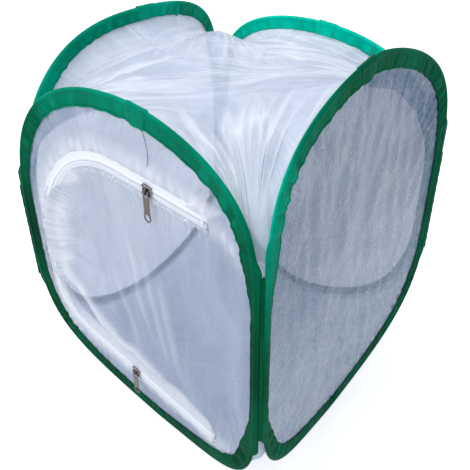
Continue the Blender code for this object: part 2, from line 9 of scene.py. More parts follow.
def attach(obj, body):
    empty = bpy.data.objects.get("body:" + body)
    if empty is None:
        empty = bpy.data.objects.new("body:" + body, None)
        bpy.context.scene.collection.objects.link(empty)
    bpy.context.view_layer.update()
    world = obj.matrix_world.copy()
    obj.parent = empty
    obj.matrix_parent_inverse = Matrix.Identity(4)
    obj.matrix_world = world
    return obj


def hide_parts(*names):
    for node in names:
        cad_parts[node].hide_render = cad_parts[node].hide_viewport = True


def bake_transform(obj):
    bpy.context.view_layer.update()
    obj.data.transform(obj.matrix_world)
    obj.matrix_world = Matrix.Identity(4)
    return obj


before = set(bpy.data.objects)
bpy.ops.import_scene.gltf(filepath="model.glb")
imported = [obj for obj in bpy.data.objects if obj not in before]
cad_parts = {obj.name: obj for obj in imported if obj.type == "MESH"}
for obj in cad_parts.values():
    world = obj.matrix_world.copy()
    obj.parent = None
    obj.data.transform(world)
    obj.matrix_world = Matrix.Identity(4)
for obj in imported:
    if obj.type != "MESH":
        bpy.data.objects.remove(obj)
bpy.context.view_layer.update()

scene = bpy.context.scene
scene.view_settings.view_transform = "Standard"


def addObject(name, data):
    made = bpy.data.objects.new(name, data)
    scene.collection.objects.link(made)
    return made


cameraView = dict(
    place=(0.36621, -0.38591, 0.50080), target=(0.0, 0.0, 0.150), roll=-0.00786, lens=48.07, sensor=36.0,
)


def addCamera():
    place = Vector(cameraView["place"])
    ahead = (Vector(cameraView["target"]) - place).normalized()
    right = ahead.cross(Vector((0.0, 0.0, 1.0))).normalized()
    above = right.cross(ahead)
    c, s = math.cos(cameraView["roll"]), math.sin(cameraView["roll"])
    right, above = right * c + above * s, above * c - right * s
    data = bpy.data.cameras.new("camera")
    data.sensor_width = cameraView["sensor"]
    data.lens = cameraView["lens"]
    camera = addObject("camera", data)
    turn = Matrix((right, above, -ahead)).transposed().to_4x4()
    camera.matrix_world = Matrix.Translation(place) @ turn
    scene.camera = camera


addCamera()
print("camera placed")

# Sizes shared with the solids, in metres
cage = dict(
    side=0.300, skew=math.radians(6.0), halfWidth=0.146, seamHeight=0.178, leanPower=1.8,
    panelDepth=0.011, finReach=0.1484, finHalf=0.00045, finGap=0.0046,
)
hoops = {
    "front": dict(
        height=0.3378, lean=(0.0160, 0.0228), lap=0.019, seed=3,
        top=((1.52, 6.3), (2.52, 3.0)), foot=((1.67, 4.8), (1.45, 3.8)),
    ),
    "right": dict(
        height=0.3660, lean=(0.0085, 0.0175), lap=-0.018, seed=8,
        top=((1.44, 4.8), (1.53, 6.3)), foot=((1.61, 3.3), (1.51, 4.0)),
    ),
    "back": dict(
        height=0.3347, lean=(0.0128, 0.0200), lap=-0.014, seed=15,
        top=((1.96, 4.3), (2.07, 3.4)), foot=((1.6, 3.8), (1.6, 3.8)),
    ),
    "left": dict(
        height=0.3538, lean=(0.0255, -0.0125), lap=-0.006, seed=22,
        top=((2.74, 2.2), (1.80, 5.9)), foot=((1.7, 3.6), (1.7, 3.6)),
    ),
}
sideways = np.array((1.0, 0.0, 0.0))
depthways = np.array((-math.sin(cage["skew"]), math.cos(cage["skew"]), 0.0))
up = np.array((0.0, 0.0, 1.0))
wallFrames = {
    "front": (-depthways * cage["side"] / 2, sideways),
    "right": (sideways * cage["side"] / 2, depthways),
    "back": (depthways * cage["side"] / 2, -sideways),
    "left": (-sideways * cage["side"] / 2, -depthways),
}
outwards = {name: np.cross(along, up) for name, (_, along) in wallFrames.items()}


def onWall(name, u, o, z):
    centre, along = wallFrames[name]
    u, o, z = (np.asarray(v, float)[..., None] for v in (u, o, z))
    return centre + along * u + outwards[name] * o + up * z


def unit(v):
    return v / np.maximum(np.linalg.norm(v, axis=-1, keepdims=True), 1e-12)


# Lengths along a line of points, from its start.
def lengthsAlong(points):
    return np.append(0.0, np.cumsum(np.linalg.norm(np.diff(points, axis=0), axis=1)))


def between(arcs, run, values, period=None):
    return np.stack([np.interp(arcs, run, column, period=period) for column in values.T], axis=-1)


def turns(count):
    return np.arange(count) * 2 * np.pi / count


def smooth(value, low, high):
    t = np.clip((value - low) / (high - low), 0.0, 1.0)
    return t * t * (3 - 2 * t)


# Up over the first span and down again over the second.
def riseAndFall(value, start, full, last, end):
    return smooth(value, start, full) * (1 - smooth(value, last, end))


def hoopSide(name, angle, mirror):
    spec = hoops[name]
    s, c = np.sin(angle), np.maximum(np.cos(angle), 0.0)
    pick = 0 if mirror > 0 else 1
    wide = np.where(s > 0, spec["top"][pick][0], spec["foot"][pick][0])
    tall = np.where(s > 0, spec["top"][pick][1], spec["foot"][pick][1])
    reach = np.where(s > 0, spec["height"] - cage["seamHeight"], cage["seamHeight"])
    u = cage["halfWidth"] * c ** (2 / wide) * mirror
    z = cage["seamHeight"] + np.sign(s) * reach * np.abs(s) ** (2 / tall)
    return np.stack([u, z], axis=-1)


def hoopOutline(name):
    steps = 360
    turn = np.pi * np.arange(steps) / steps
    return np.vstack([hoopSide(name, np.pi / 2 - turn, 1), hoopSide(name, turn - np.pi / 2, -1)])


def leanAt(name, u, z):
    crown, foot = hoops[name]["lean"]
    lean = foot + (crown - foot) * z / hoops[name]["height"]
    return -lean * (1 - np.minimum(np.abs(u) / cage["halfWidth"], 1.0) ** cage["leanPower"])


# The hoop's edge with the direction into the wall and the way that the wall faces.
def makeHoopField(name, count=1400):
    flat = hoopOutline(name)
    loop = np.vstack([flat, flat[:1]])
    run = lengthsAlong(loop)
    total = run[-1]
    arcs = np.linspace(0, total, count, endpoint=False)
    here, ahead, behind = (between((arcs + step) % total, run, loop) for step in (0.0, 0.004, -0.004))
    tangent2 = unit(ahead - behind)
    inward2 = np.stack([tangent2[:, 1], -tangent2[:, 0]], axis=-1)
    toMiddle = np.array((0.0, cage["seamHeight"])) - here
    inward2 *= np.where((inward2 * toMiddle).sum(1) < 0, -1.0, 1.0)[:, None]
    points = [onWall(name, p[:, 0], leanAt(name, p[:, 0], p[:, 1]), p[:, 1]) for p in (here, ahead, behind)]
    tangent = unit(points[1] - points[2])
    reach = np.linalg.norm(toMiddle, axis=1)
    slope = -2 * (leanAt(name, here[:, 0], here[:, 1]) + cage["panelDepth"]) / reach
    along, outward = wallFrames[name][1], outwards[name]
    inward = unit(along * inward2[:, :1] + up * inward2[:, 1:] + outward * slope[:, None])
    inward = unit(inward - tangent * (inward * tangent).sum(1, keepdims=True))
    normal = unit(np.cross(tangent, inward))
    normal *= np.where((normal @ outward) < 0, -1.0, 1.0)[:, None]
    angle = np.unwrap(np.arctan2(tangent2[:, 1], tangent2[:, 0]))
    bend = np.abs(np.gradient(angle)) / (total / count)
    bend = np.array([np.take(bend, range(k - 9, k + 10), mode="wrap").mean() for k in range(count)])
    lapAt = next(
        run[k] for k in range(len(flat))
        if flat[k, 1] > cage["seamHeight"]
        and (flat[k, 0] - hoops[name]["lap"]) * (loop[k + 1, 0] - hoops[name]["lap"]) <= 0
    )
    return dict(
        total=total, arcs=arcs, point=points[0], inward=inward, normal=normal, flat=here,
        sideShare=inward2[:, 0], bend=bend, lapAt=lapAt,
    )


fields = {name: makeHoopField(name) for name in hoops}


def hoopArcs(name, count):
    return np.linspace(0, fields[name]["total"], count, endpoint=False)


def readField(field, key, arc):
    values = field[key]
    arc = np.asarray(arc, float)
    if values.ndim == 1:
        return np.interp(arc, field["arcs"], values, period=field["total"])
    return between(arc, field["arcs"], values, field["total"])


def fromHoop(name, arc, depth, offset):
    field = fields[name]
    arc, depth, offset = np.broadcast_arrays(*(np.asarray(v, float) for v in (arc, depth, offset)))
    made = readField(field, "point", arc) + readField(field, "inward", arc) * depth[..., None]
    made = made + readField(field, "normal", arc) * offset[..., None]
    made[..., 2] = np.maximum(made[..., 2], 0.0)
    return made


# Meshes
def makePiece(name, points, faces, corners, material, marks=None):
    mesh = bpy.data.meshes.new(name)
    mesh.from_pydata(np.asarray(points, float).tolist(), [], faces)
    layer = mesh.uv_layers.new(name="cloth")
    layer.data.foreach_set("uv", np.asarray(corners, np.float32).ravel())
    for label, values in (marks or {}).items():
        mark = mesh.attributes.new(label, "FLOAT", "POINT")
        mark.data.foreach_set("value", np.asarray(values, np.float32).ravel())
    mesh.polygons.foreach_set("use_smooth", [True] * len(mesh.polygons))
    mesh.materials.append(material)
    return addObject(name, mesh)


def insideOut(points, faces):
    points = np.asarray(points)
    total = 0.0
    for face in faces:
        a = points[face[0]]
        for k in range(1, len(face) - 1):
            total += a @ np.cross(points[face[k]], points[face[k + 1]])
    return total < 0


# A net of quads: points by row and column, closed round either way, with a cap or a middle point.
def makeGrid(name, points, uv, material, wrapRows=False, wrapColumns=False, caps=False,
             middle=None, facing=None, marks=None):
    rows, columns = points.shape[:2]
    i, j = np.meshgrid(
        np.arange(rows if wrapRows else rows - 1), np.arange(columns if wrapColumns else columns - 1),
        indexing="ij",
    )
    corner = [(i, j), (i, j + 1), (i + 1, j + 1), (i + 1, j)]
    quads = np.stack([(a % rows) * columns + b % columns for a, b in corner], axis=-1).reshape(-1, 4)
    corners = np.stack([uv[a, b] for a, b in corner], axis=-2).reshape(-1, 4, 2)
    faces = quads.tolist()
    corners = [list(map(tuple, c)) for c in corners]
    flat = points.reshape(-1, 3)
    if middle is not None:
        flat = np.vstack([flat, middle[0]])
        last = (rows - 1) * columns
        for b in range(columns):
            faces.append([last + b, last + (b + 1) % columns, rows * columns])
            corners.append([tuple(uv[rows - 1, b]), tuple(uv[rows - 1, b + 1]), tuple(middle[1])])
    if caps:
        faces += [list(range(columns))[::-1], list(range((rows - 1) * columns, rows * columns))]
        corners += [[tuple(uv[0, b]) for b in range(columns)][::-1]]
        corners += [[tuple(uv[rows - 1, b]) for b in range(columns)]]
    if facing is None:
        turned = insideOut(flat - flat.mean(0), faces)
    else:
        a, b, c = (flat[[f[k] for f in faces]] for k in (0, 1, 2))
        turned = (np.cross(b - a, c - a) @ np.asarray(facing, float)).sum() < 0
    if turned:
        faces = [f[::-1] for f in faces]
        corners = [c[::-1] for c in corners]
    if marks:
        extra = rows * columns < len(flat)
        marks = {k: np.append(np.ravel(v), 0.0) if extra else np.ravel(v) for k, v in marks.items()}
    loops = [c for face in corners for c in face]
    return makePiece(name, flat, faces, loops, material, marks)


def uvGrid(alongs, acrosses):
    a, b = np.meshgrid(alongs, acrosses, indexing="ij")
    return np.stack([a, b], axis=-1)


# A closed tube along points, round or oval, its first side turned to face one way.
def makeTube(name, path, radius, sides, facing, material, alongs, step, squash=1.0):
    tangent = unit(np.gradient(path, axis=0))
    facing = np.broadcast_to(np.asarray(facing, float), path.shape)
    facing = unit(facing - tangent * (facing * tangent).sum(1, keepdims=True))
    across = np.cross(tangent, facing)
    turn = turns(sides)
    radius = np.broadcast_to(radius, (len(path),))[:, None, None]
    c, s = np.cos(turn)[None, :, None], np.sin(turn)[None, :, None]
    rings = path[:, None] + radius * (c * across[:, None] + squash * s * facing[:, None])
    uv = uvGrid(alongs, np.arange(sides + 1) * step)
    return makeGrid(name, rings, uv, material, wrapColumns=True, caps=True)


def wrapped(values):
    return np.concatenate([values, values[:, :1]], axis=1)


def handOver(piece, node, body=None):
    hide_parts(node)
    if body:
        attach(piece, body)


def joinPieces(name, pieces):
    work = bmesh.new()
    materials = []
    for piece in pieces:
        start = len(work.faces)
        work.from_mesh(piece.data)
        work.faces.ensure_lookup_table()
        own = list(piece.data.materials)
        materials += [material for material in own if material not in materials]
        for face in work.faces[start:]:
            face.material_index = materials.index(own[min(face.material_index, len(own) - 1)])
    mesh = bpy.data.meshes.new(name)
    work.to_mesh(mesh)
    work.free()
    for material in materials:
        mesh.materials.append(material)
    for piece in pieces:
        bpy.data.objects.remove(piece, do_unlink=True)
    return addObject(name, mesh)


# Sums of sines, for gathers and for slow changes of tone.
def waves(arc, lengths, seed, count=8):
    rng = np.random.default_rng(seed)
    total = np.zeros_like(np.asarray(arc, float))
    for _ in range(count):
        length = rng.uniform(*lengths)
        total = total + np.sin(2 * np.pi * (arc / length + rng.random()))
    return total / math.sqrt(count)


def ripples(x, y, lengths, seed, count=9, lean=(0.0, math.pi)):
    rng = np.random.default_rng(seed)
    total = np.zeros_like(np.asarray(x, float))
    for _ in range(count):
        length, turn = rng.uniform(*lengths), rng.uniform(*lean)
        along = (x * math.cos(turn) + y * math.sin(turn)) / length
        total = total + np.sin(2 * np.pi * (along + rng.random()))
    return total / math.sqrt(count)


# A soft fold between two points of a wall, dying away at its ends.
def fold(x, y, start, end, width, height, fadeIn=(-0.12, 0.22)):
    a, b = np.array(start, float), np.array(end, float)
    d = b - a
    length = np.linalg.norm(d)
    t = ((x - a[0]) * d[0] + (y - a[1]) * d[1]) / length ** 2
    bow = ((x - a[0]) * d[1] - (y - a[1]) * d[0]) / length
    ends = riseAndFall(t, *fadeIn, 1 - fadeIn[1], 1 - fadeIn[0])
    return height * ends * np.exp(-(bow / width) ** 2)


def sumFolds(x, y, folds):
    return sum(fold(x, y, *spec) for spec in folds)


# The main folds that the solids have too, in shares of the panel's half width and its height.
mainFolds = dict(
    width=0.012, height=0.0042, fade=(-0.22, 0.22), rimFade=0.14, wallFade=0.45,
    roof=(
        ((0.72, 0.86), (-0.42, 0.44), 1.0, 1.0), ((0.66, 0.76), (0.00, 0.04), 1.1, 0.8),
        ((0.84, -0.78), (0.30, -0.14), 1.0, 1.1), ((-0.80, -0.76), (-0.14, -0.20), 1.2, 0.75),
        ((-0.82, 0.70), (-0.24, 0.24), 1.2, 0.75),
    ),
    left=(((-0.62, 0.80), (0.35, 0.52), 1.8, 0.9), ((-0.55, 0.30), (0.45, 0.42), 1.8, -0.8)),
    back=(((0.55, 0.82), (-0.40, 0.50), 1.8, 0.9), ((0.50, 0.26), (-0.45, 0.36), 1.8, -0.8)),
    right=(),
)


def mainFold(panel, x, y, wide, tall):
    total = np.zeros_like(np.asarray(x, float))
    for (startX, startY), (endX, endY), width, height in mainFolds[panel]:
        total = total + fold(
            x, y, (startX * wide, startY * tall), (endX * wide, endY * tall), width * mainFolds["width"],
            height * mainFolds["height"], mainFolds["fade"],
        )
    return total


# Node tools. Shader nodes go into the tree that was started last, and a shaderValue is an output of one
# that takes part in sums.
shader = dict(tree=None)


class shaderValue:
    def __init__(self, socket):
        self.socket = socket


def makeOperator(operation, swapped=False):
    def act(self, *other):
        return calc(operation, *other, self) if swapped else calc(operation, self, *other)
    return act


for sign, operation in (
    ("add", "ADD"), ("sub", "SUBTRACT"), ("mul", "MULTIPLY"), ("truediv", "DIVIDE"), ("pow", "POWER"),
):
    setattr(shaderValue, "__" + sign + "__", makeOperator(operation))
    setattr(shaderValue, "__r" + sign + "__", makeOperator(operation, True))
shaderValue.__abs__ = makeOperator("ABSOLUTE")


def feed(socket, source):
    if isinstance(source, shaderValue):
        source = source.socket
    if isinstance(source, bpy.types.NodeSocket):
        socket.id_data.links.new(source, socket)
    elif source is not None:
        socket.default_value = source


def addNode(tree, kind, inputs=None, **settings):
    made = tree.nodes.new(kind)
    for key, value in settings.items():
        setattr(made, key, value)
    for place, source in (inputs or {}).items():
        feed(made.inputs[place], source)
    return made


def build(kind, inputs, output=0, **settings):
    inputs = inputs if isinstance(inputs, dict) else dict(enumerate(inputs))
    return shaderValue(addNode(shader["tree"], kind, inputs, **settings).outputs[output])


def calc(operation, *inputs, clamp=False):
    return build("ShaderNodeMath", inputs, operation=operation, use_clamp=clamp)


def vectorCalc(operation, *inputs):
    return build("ShaderNodeVectorMath", inputs, operation=operation)


def scaled(vector, scale):
    return vectorCalc("SCALE", vector, None, None, scale)


def split(vector):
    made = addNode(shader["tree"], "ShaderNodeSeparateXYZ", {0: vector})
    return [shaderValue(output) for output in made.outputs]


def ramp(value, low, high, toLow, toHigh, kind="LINEAR"):
    return build("ShaderNodeMapRange", (value, low, high, toLow, toHigh), interpolation_type=kind)


def mixColours(share, first, second):
    return build("ShaderNodeMix", {0: share, 6: first, 7: second}, 2, data_type="RGBA")


def noise(vector, scale, detail=2.0, rough=0.5, distortion=0.0):
    inputs = dict(Vector=vector, Scale=scale, Detail=detail, Roughness=rough, Distortion=distortion)
    return build("ShaderNodeTexNoise", inputs, "Fac")


def readMark(label):
    return build("ShaderNodeAttribute", {}, "Fac", attribute_name=label)


def bump(height, strength, distance, before=None):
    return build("ShaderNodeBump", dict(Height=height, Strength=strength, Distance=distance, Normal=before))


def addSockets(tree, takes):
    for label, (kind, value) in takes.items():
        socket = tree.interface.new_socket(name=label, in_out="INPUT", socket_type="NodeSocket" + kind)
        if value is not None:
            socket.default_value = value


# A node group with float outputs: its inputs by label, and the function that makes its outputs.
def makeGroup(name, takes, look):
    tree = shader["tree"] = bpy.data.node_groups.new(name, "ShaderNodeTree")
    addSockets(tree, {k: ("Float" if isinstance(v, float) else "Vector", v) for k, v in takes.items()})
    given = addNode(tree, "NodeGroupInput").outputs
    made = look(*(shaderValue(given[label]) for label in takes))
    for label in made:
        tree.interface.new_socket(name=label, in_out="OUTPUT", socket_type="NodeSocketFloat")
    addNode(tree, "NodeGroupOutput", made)
    return tree


def useGroup(group, **values):
    made = addNode(shader["tree"], "ShaderNodeGroup", values, node_tree=group)
    return {output.name: shaderValue(output) for output in made.outputs}


# Plain weave, over one and under one, with uneven yarns
def weaveLook(vector, pitch, uneven):
    yarns = scaled(vector, math.pi / pitch)
    x, y, _ = split(yarns)
    along, across = (
        noise(vectorCalc("MULTIPLY", yarns, drawn), 1.0) for drawn in ((0.05, 0.6, 1.0), (0.6, 0.05, 1.0))
    )
    return dict(Height=calc("SINE", x) * calc("SINE", y) * 0.5 + 0.5, Tone=(along + across - 1.0) * uneven)


# Net of fine threads: how much of the cloth covers, and how high the threads stand
def netLook(vector, pitch, thread):
    x, y, _ = split(scaled(vector, math.pi / pitch))
    near = calc("MINIMUM", abs(calc("SINE", x + y)), abs(calc("SINE", x - y)))
    cover = ramp(near, thread - 0.2, thread + 0.2, 1.0, 0.0, "SMOOTHSTEP")
    return dict(Cover=cover, Height=cover * (1.0 - near))


# Crumples: ridges that wander, drawn out along one direction by Stretch
def crumpleLook(vector, stretch, size, wander):
    broad = noise(vectorCalc("MULTIPLY", vector, stretch), 1.0 / size, 3.0, 0.55, wander)
    sharp = 1.0 - abs(broad * 2.0 - 1.0) ** 0.6
    return dict(Height=sharp * 0.6 + broad * 0.6, Tone=broad)


# Wear where an edge rubs: its mark on the mesh, broken up
def rubLook(vector, edge, size):
    patchy = noise(vector, 1.0 / size, 4.0, 0.65)
    return dict(Mask=calc("MINIMUM", edge * ramp(patchy, 0.35, 0.62, 0.35, 1.0, "SMOOTHSTEP"), 1.0))


# Fine creases that spread from a corner of stretched cloth, sharp near it and lost further out
def fanLook(vector, corner, aim, spacing, far):
    x, y, _ = split(vectorCalc("SUBTRACT", vector, corner))
    c, s = calc("COSINE", aim), calc("SINE", aim)
    ahead, beside = x * c + y * s, y * c - x * s
    turn = calc("ARCTAN2", beside, ahead)
    distance = calc("SQRT", ahead * ahead + beside * beside)
    polar = build("ShaderNodeCombineXYZ", (turn / spacing, distance * 9.0))
    ridge = 1.0 - abs(noise(polar, 0.55, 2.0, 0.5, 0.5) * 5.0 - 2.5)
    sharp = calc("MAXIMUM", ridge, 0.0) ** 2.5
    inside = ramp(abs(turn), 0.35, 0.85, 1.0, 0.0, "SMOOTHSTEP")
    near = ramp(distance, 0.012, 0.045, 0.0, 1.0, "SMOOTHSTEP")
    fading = ramp(distance, far * 0.45, far, 1.0, 0.0, "SMOOTHSTEP")
    return dict(Height=calc("MULTIPLY", sharp, near * fading * inside, clamp=True))


weave = makeGroup("plain weave", dict(Vector=None, Pitch=0.0005, Uneven=0.3), weaveLook)
net = makeGroup("fine net", dict(Vector=None, Pitch=0.0015, Thread=0.35), netLook)
crumple = makeGroup(
    "crumples", dict(Vector=None, Stretch=(1.0, 1.0, 1.0), Size=0.02, Wander=0.6), crumpleLook,
)
rub = makeGroup("rubbed edge", dict(Vector=None, Edge=0.0, Size=0.004), rubLook)
fanCreases = makeGroup(
    "creases from a corner", dict(Vector=None, Corner=(0.0, 0.0, 0.0), Aim=0.0, Spacing=0.06, Far=0.2),
    fanLook,
)


# A new material, and the surface's own coordinates in its tree.
def startMaterial(name):
    material = bpy.data.materials.new(name)
    material.use_nodes = True
    shader["tree"] = material.node_tree
    return material, build("ShaderNodeUVMap", {}, uv_map="cloth")


def dress(material, values):
    inputs = material.node_tree.nodes["Principled BSDF"].inputs
    for label, value in values.items():
        feed(inputs[label], value)
    return material


tapeCloth = dict(
    deep=(0.0, 0.103, 0.040, 1.0), bright=(0.0, 0.103, 0.070, 1.0), rubbed=0.45, pitch=0.00042,
    roughness=(0.54, 0.68), sheen=0.05, sheenTint=(0.0, 0.85, 0.55, 1.0), shine=0.035,
    shineTint=(0.10, 1.0, 0.62, 1.0),
)


# The tape's tone is counted in stops, each one twice as bright as the last; much of it is painted light and
# shade.
def makeTapeCloth(name="binding tape", shift=0.0):
    material, uv = startMaterial(name)
    woven = useGroup(weave, Vector=uv, Pitch=tapeCloth["pitch"], Uneven=0.5)
    soft = useGroup(crumple, Vector=uv, Stretch=(1.0, 0.35, 1.0), Size=0.010, Wander=0.8)
    worn = useGroup(rub, Vector=uv, Edge=readMark("edge"), Size=0.006)["Mask"]
    tone = woven["Height"] * 0.25 + woven["Tone"] + noise(uv, 28.0) * 1.1 + (shift - 0.675)
    # Painted light and shade: the gather mark lightens the raised gathers and darkens the creases, and the
    # tone mark adds the painted light and shade of each hoop; the rubbed edges are wear.
    tone = tone + readMark("gather") * 0.38 + worn * tapeCloth["rubbed"] + readMark("tone")
    hue = mixColours(ramp(tone, -0.5, 2.4, 0.0, 1.0), tapeCloth["deep"], tapeCloth["bright"])
    return dress(material, {
        "Base Color": scaled(hue, 2.0 ** tone),
        "Roughness": ramp(soft["Tone"], 0.3, 0.7, *tapeCloth["roughness"]),
        "Sheen Weight": tapeCloth["sheen"], "Sheen Roughness": 0.4, "Sheen Tint": tapeCloth["sheenTint"],
        "Specular IOR Level": tapeCloth["shine"], "Specular Tint": tapeCloth["shineTint"],
        "Normal": bump(woven["Height"], 0.5, 0.00012, bump(soft["Height"], 0.35, 0.0009)),
    })


netCloth = dict(
    colour=(0.285, 0.365, 0.52, 1.0), pale=(0.50, 0.585, 0.75, 1.0), white=(0.93, 0.95, 1.0, 1.0),
    pitch=0.00135, thread=0.36, hole=0.36, covered=0.80,
)


def makeNetCloth(name, stretch, hole=netCloth["hole"], fans=(), paler=0.0):
    material, uv = startMaterial(name)
    threads = useGroup(net, Vector=uv, Pitch=netCloth["pitch"], Thread=netCloth["thread"])
    broad = useGroup(crumple, Vector=uv, Stretch=stretch, Size=0.045, Wander=0.9)
    fine = useGroup(crumple, Vector=uv, Stretch=stretch, Size=0.013, Wander=0.5)
    gather, lines = readMark("gather"), 0.0
    for place, aim, spacing, far in fans:
        made = useGroup(fanCreases, Vector=uv, Corner=place + (0.0,), Aim=aim, Spacing=spacing, Far=far)
        lines = calc("MAXIMUM", lines, made["Height"])
    colour = netCloth["colour"]
    # Along the fine creases from the corners the net is painted near white, a painted highlight, and made a
    # little more opaque.
    for share, over in (
        (ramp(broad["Tone"], 0.3, 0.72, 0.0, 1.0, "SMOOTHSTEP"), "pale"), (paler, "white"),
        (threads["Cover"] * 0.35, "pale"), (ramp(gather, 0.0, 1.0, 0.0, 0.85), "white"),
        (lines * 0.75, "white"),
    ):
        colour = mixColours(share, colour, netCloth[over])
    seen = ramp(threads["Cover"], 0.0, 1.0, hole, netCloth["covered"]) + lines * 0.20
    seen = calc("ADD", seen, fine["Height"] * 0.10 + gather * 0.22, clamp=True)
    folds = bump(fine["Height"], 0.4, 0.0012, bump(broad["Height"], 0.5, 0.0040))
    return dress(material, {
        "Base Color": colour, "Alpha": seen - 0.05, "Roughness": ramp(fine["Tone"], 0.3, 0.7, 0.62, 0.82),
        "Sheen Weight": 0.15,
        "Normal": bump(threads["Height"], 0.35, 0.00025, bump(lines, 0.8, 0.0016, folds) if fans else folds),
    })


# The film is painted darker and a little denser towards its top, painted shade: the high tints are the
# shaded ones.
windowFilm = dict(
    low=((0.195, 0.270, 0.365, 1.0), (0.325, 0.420, 0.530, 1.0)), clear=0.58, cloudy=0.76, shadedTopDenser=0.06,
    high=((0.045, 0.100, 0.175, 1.0), (0.075, 0.150, 0.255, 1.0)), shadeStartsAt=0.10, shadeFullAt=0.27,
)


def makeWindowFilm():
    material, uv = startMaterial("window film")
    streaks, cracks, fine = (
        useGroup(crumple, Vector=uv, Stretch=(1.0, drawn, 1.0), Size=size, Wander=wander)
        for drawn, size, wander in ((0.66, 0.010, 2.6), (0.75, 0.030, 2.4), (0.60, 0.0042, 1.4))
    )
    cloud = ramp(streaks["Tone"], 0.28, 0.74, 0.0, 1.0, "SMOOTHSTEP")
    # Painted shade: going up the film its colour turns to the dark high tints and it grows denser.
    high = ramp(split(uv)[1], windowFilm["shadeStartsAt"], windowFilm["shadeFullAt"], 0.0, 1.0, "SMOOTHSTEP")
    lowTint, shadedTopTint = (mixColours(cloud, *windowFilm[part]) for part in ("low", "high"))
    seen = ramp(cloud * 0.6 + cracks["Height"] * 0.5, 0.0, 1.0, windowFilm["clear"], windowFilm["cloudy"])
    seen = high * windowFilm["shadedTopDenser"] + seen
    creased = bump(streaks["Height"], 0.34, 0.0012, bump(cracks["Height"], 0.45, 0.0030))
    return dress(material, {
        "Base Color": mixColours(high, lowTint, shadedTopTint),
        "Alpha": calc("ADD", seen, readMark("gather") * 0.2, clamp=True),
        "Roughness": ramp(fine["Tone"], 0.3, 0.7, 0.14, 0.30), "Specular IOR Level": 0.32,
        "Coat Weight": 0.12, "Coat Roughness": 0.08, "Normal": bump(fine["Height"], 0.28, 0.0003, creased),
    })


zipCloth = dict(colour=(0.90, 0.94, 1.0, 1.0), pale=(0.98, 0.99, 1.0, 1.0), pitch=0.0006)


def makeZipCloth():
    material, uv = startMaterial("zip tape")
    woven = useGroup(weave, Vector=uv, Pitch=zipCloth["pitch"], Uneven=0.3)
    soft = useGroup(crumple, Vector=uv, Stretch=(0.7, 1.0, 1.0), Size=0.012, Wander=0.6)
    tone = calc("ADD", woven["Height"] * 0.5, soft["Tone"] * 0.8 + woven["Tone"], clamp=True)
    return dress(material, {
        "Base Color": mixColours(tone, zipCloth["colour"], zipCloth["pale"]), "Sheen Weight": 0.2,
        "Roughness": ramp(soft["Tone"], 0.3, 0.7, 0.60, 0.75),
        "Normal": bump(woven["Height"], 0.6, 0.00018, bump(soft["Height"], 0.4, 0.0008)),
    })


# Plain finishes: two tones over fine noise, rubbed on their edges.
def makeFinish(name, colour, pale, roughness, size, metallic=0.0, depth=0.00004, coat=0.0, shine=0.5):
    material = startMaterial(name)[0]
    where = build("ShaderNodeTexCoord", {}, "Object")
    grain = noise(where, 1 / size, 4.0, 0.6)
    worn = useGroup(rub, Vector=where, Edge=readMark("edge"), Size=size)["Mask"]
    tone = calc("ADD", grain * noise(where, 0.25 / size), worn, clamp=True)
    return dress(material, {
        "Base Color": mixColours(tone, colour + (1.0,), pale + (1.0,)),
        "Roughness": ramp(grain, 0.3, 0.7, *roughness), "Normal": bump(grain, 0.5, depth),
        "Metallic": metallic, "Coat Weight": coat, "Specular IOR Level": shine,
    })


# The corner, the way that the creases run, their spacing as an angle, and how far they reach
roofCreases = (
    ((0.150, 0.150), math.radians(200), 0.050, 0.34), ((0.158, -0.150), math.radians(128), 0.085, 0.22),
    ((-0.140, -0.150), math.radians(42), 0.075, 0.24), ((-0.165, 0.150), math.radians(-38), 0.070, 0.24),
)
tapeFinish = makeTapeCloth()
seamFinish = makeTapeCloth("seam piping", -0.35)
netFront = makeNetCloth("net of the walls", (1.0, 0.35, 1.0))
netRoof = makeNetCloth("net of the roof", (0.8, 0.8, 1.0), 0.72, roofCreases, 0.24)
filmFinish = makeWindowFilm()
zipFinish = makeZipCloth()
coilFinish = makeFinish("nylon coil", (0.93, 0.96, 1.0), (0.98, 0.99, 1.0), (0.40, 0.55), 0.0015)
stitchFinish = makeFinish(
    "green thread", (0.0, 0.07, 0.036), (0.0, 0.17, 0.10), (0.6, 0.8), 0.0008, shine=0.05,
)
paleThread = makeFinish("white thread", (0.86, 0.90, 0.99), (0.95, 0.97, 1.0), (0.5, 0.7), 0.0008)
stopFinish = makeFinish("white painted stop", (0.80, 0.84, 0.95), (0.94, 0.96, 1.0), (0.35, 0.5), 0.0015)
darkThread = makeFinish("loose thread", (0.004, 0.035, 0.030), (0.02, 0.10, 0.08), (0.5, 0.7), 0.0008)
steelFinish = makeFinish("spring wire", (0.30, 0.31, 0.33), (0.55, 0.56, 0.58), (0.25, 0.45), 0.003, 1.0)
gunmetal = makeFinish(
    "dark plated slider", (0.035, 0.030, 0.032), (0.30, 0.28, 0.28), (0.16, 0.34), 0.002, 0.95, 0.00003, 0.3,
)
pullMetal = makeFinish(
    "bronzed pull", (0.060, 0.042, 0.036), (0.26, 0.21, 0.19), (0.26, 0.42), 0.003, 0.9, 0.00004, 0.2,
)
print("materials built")


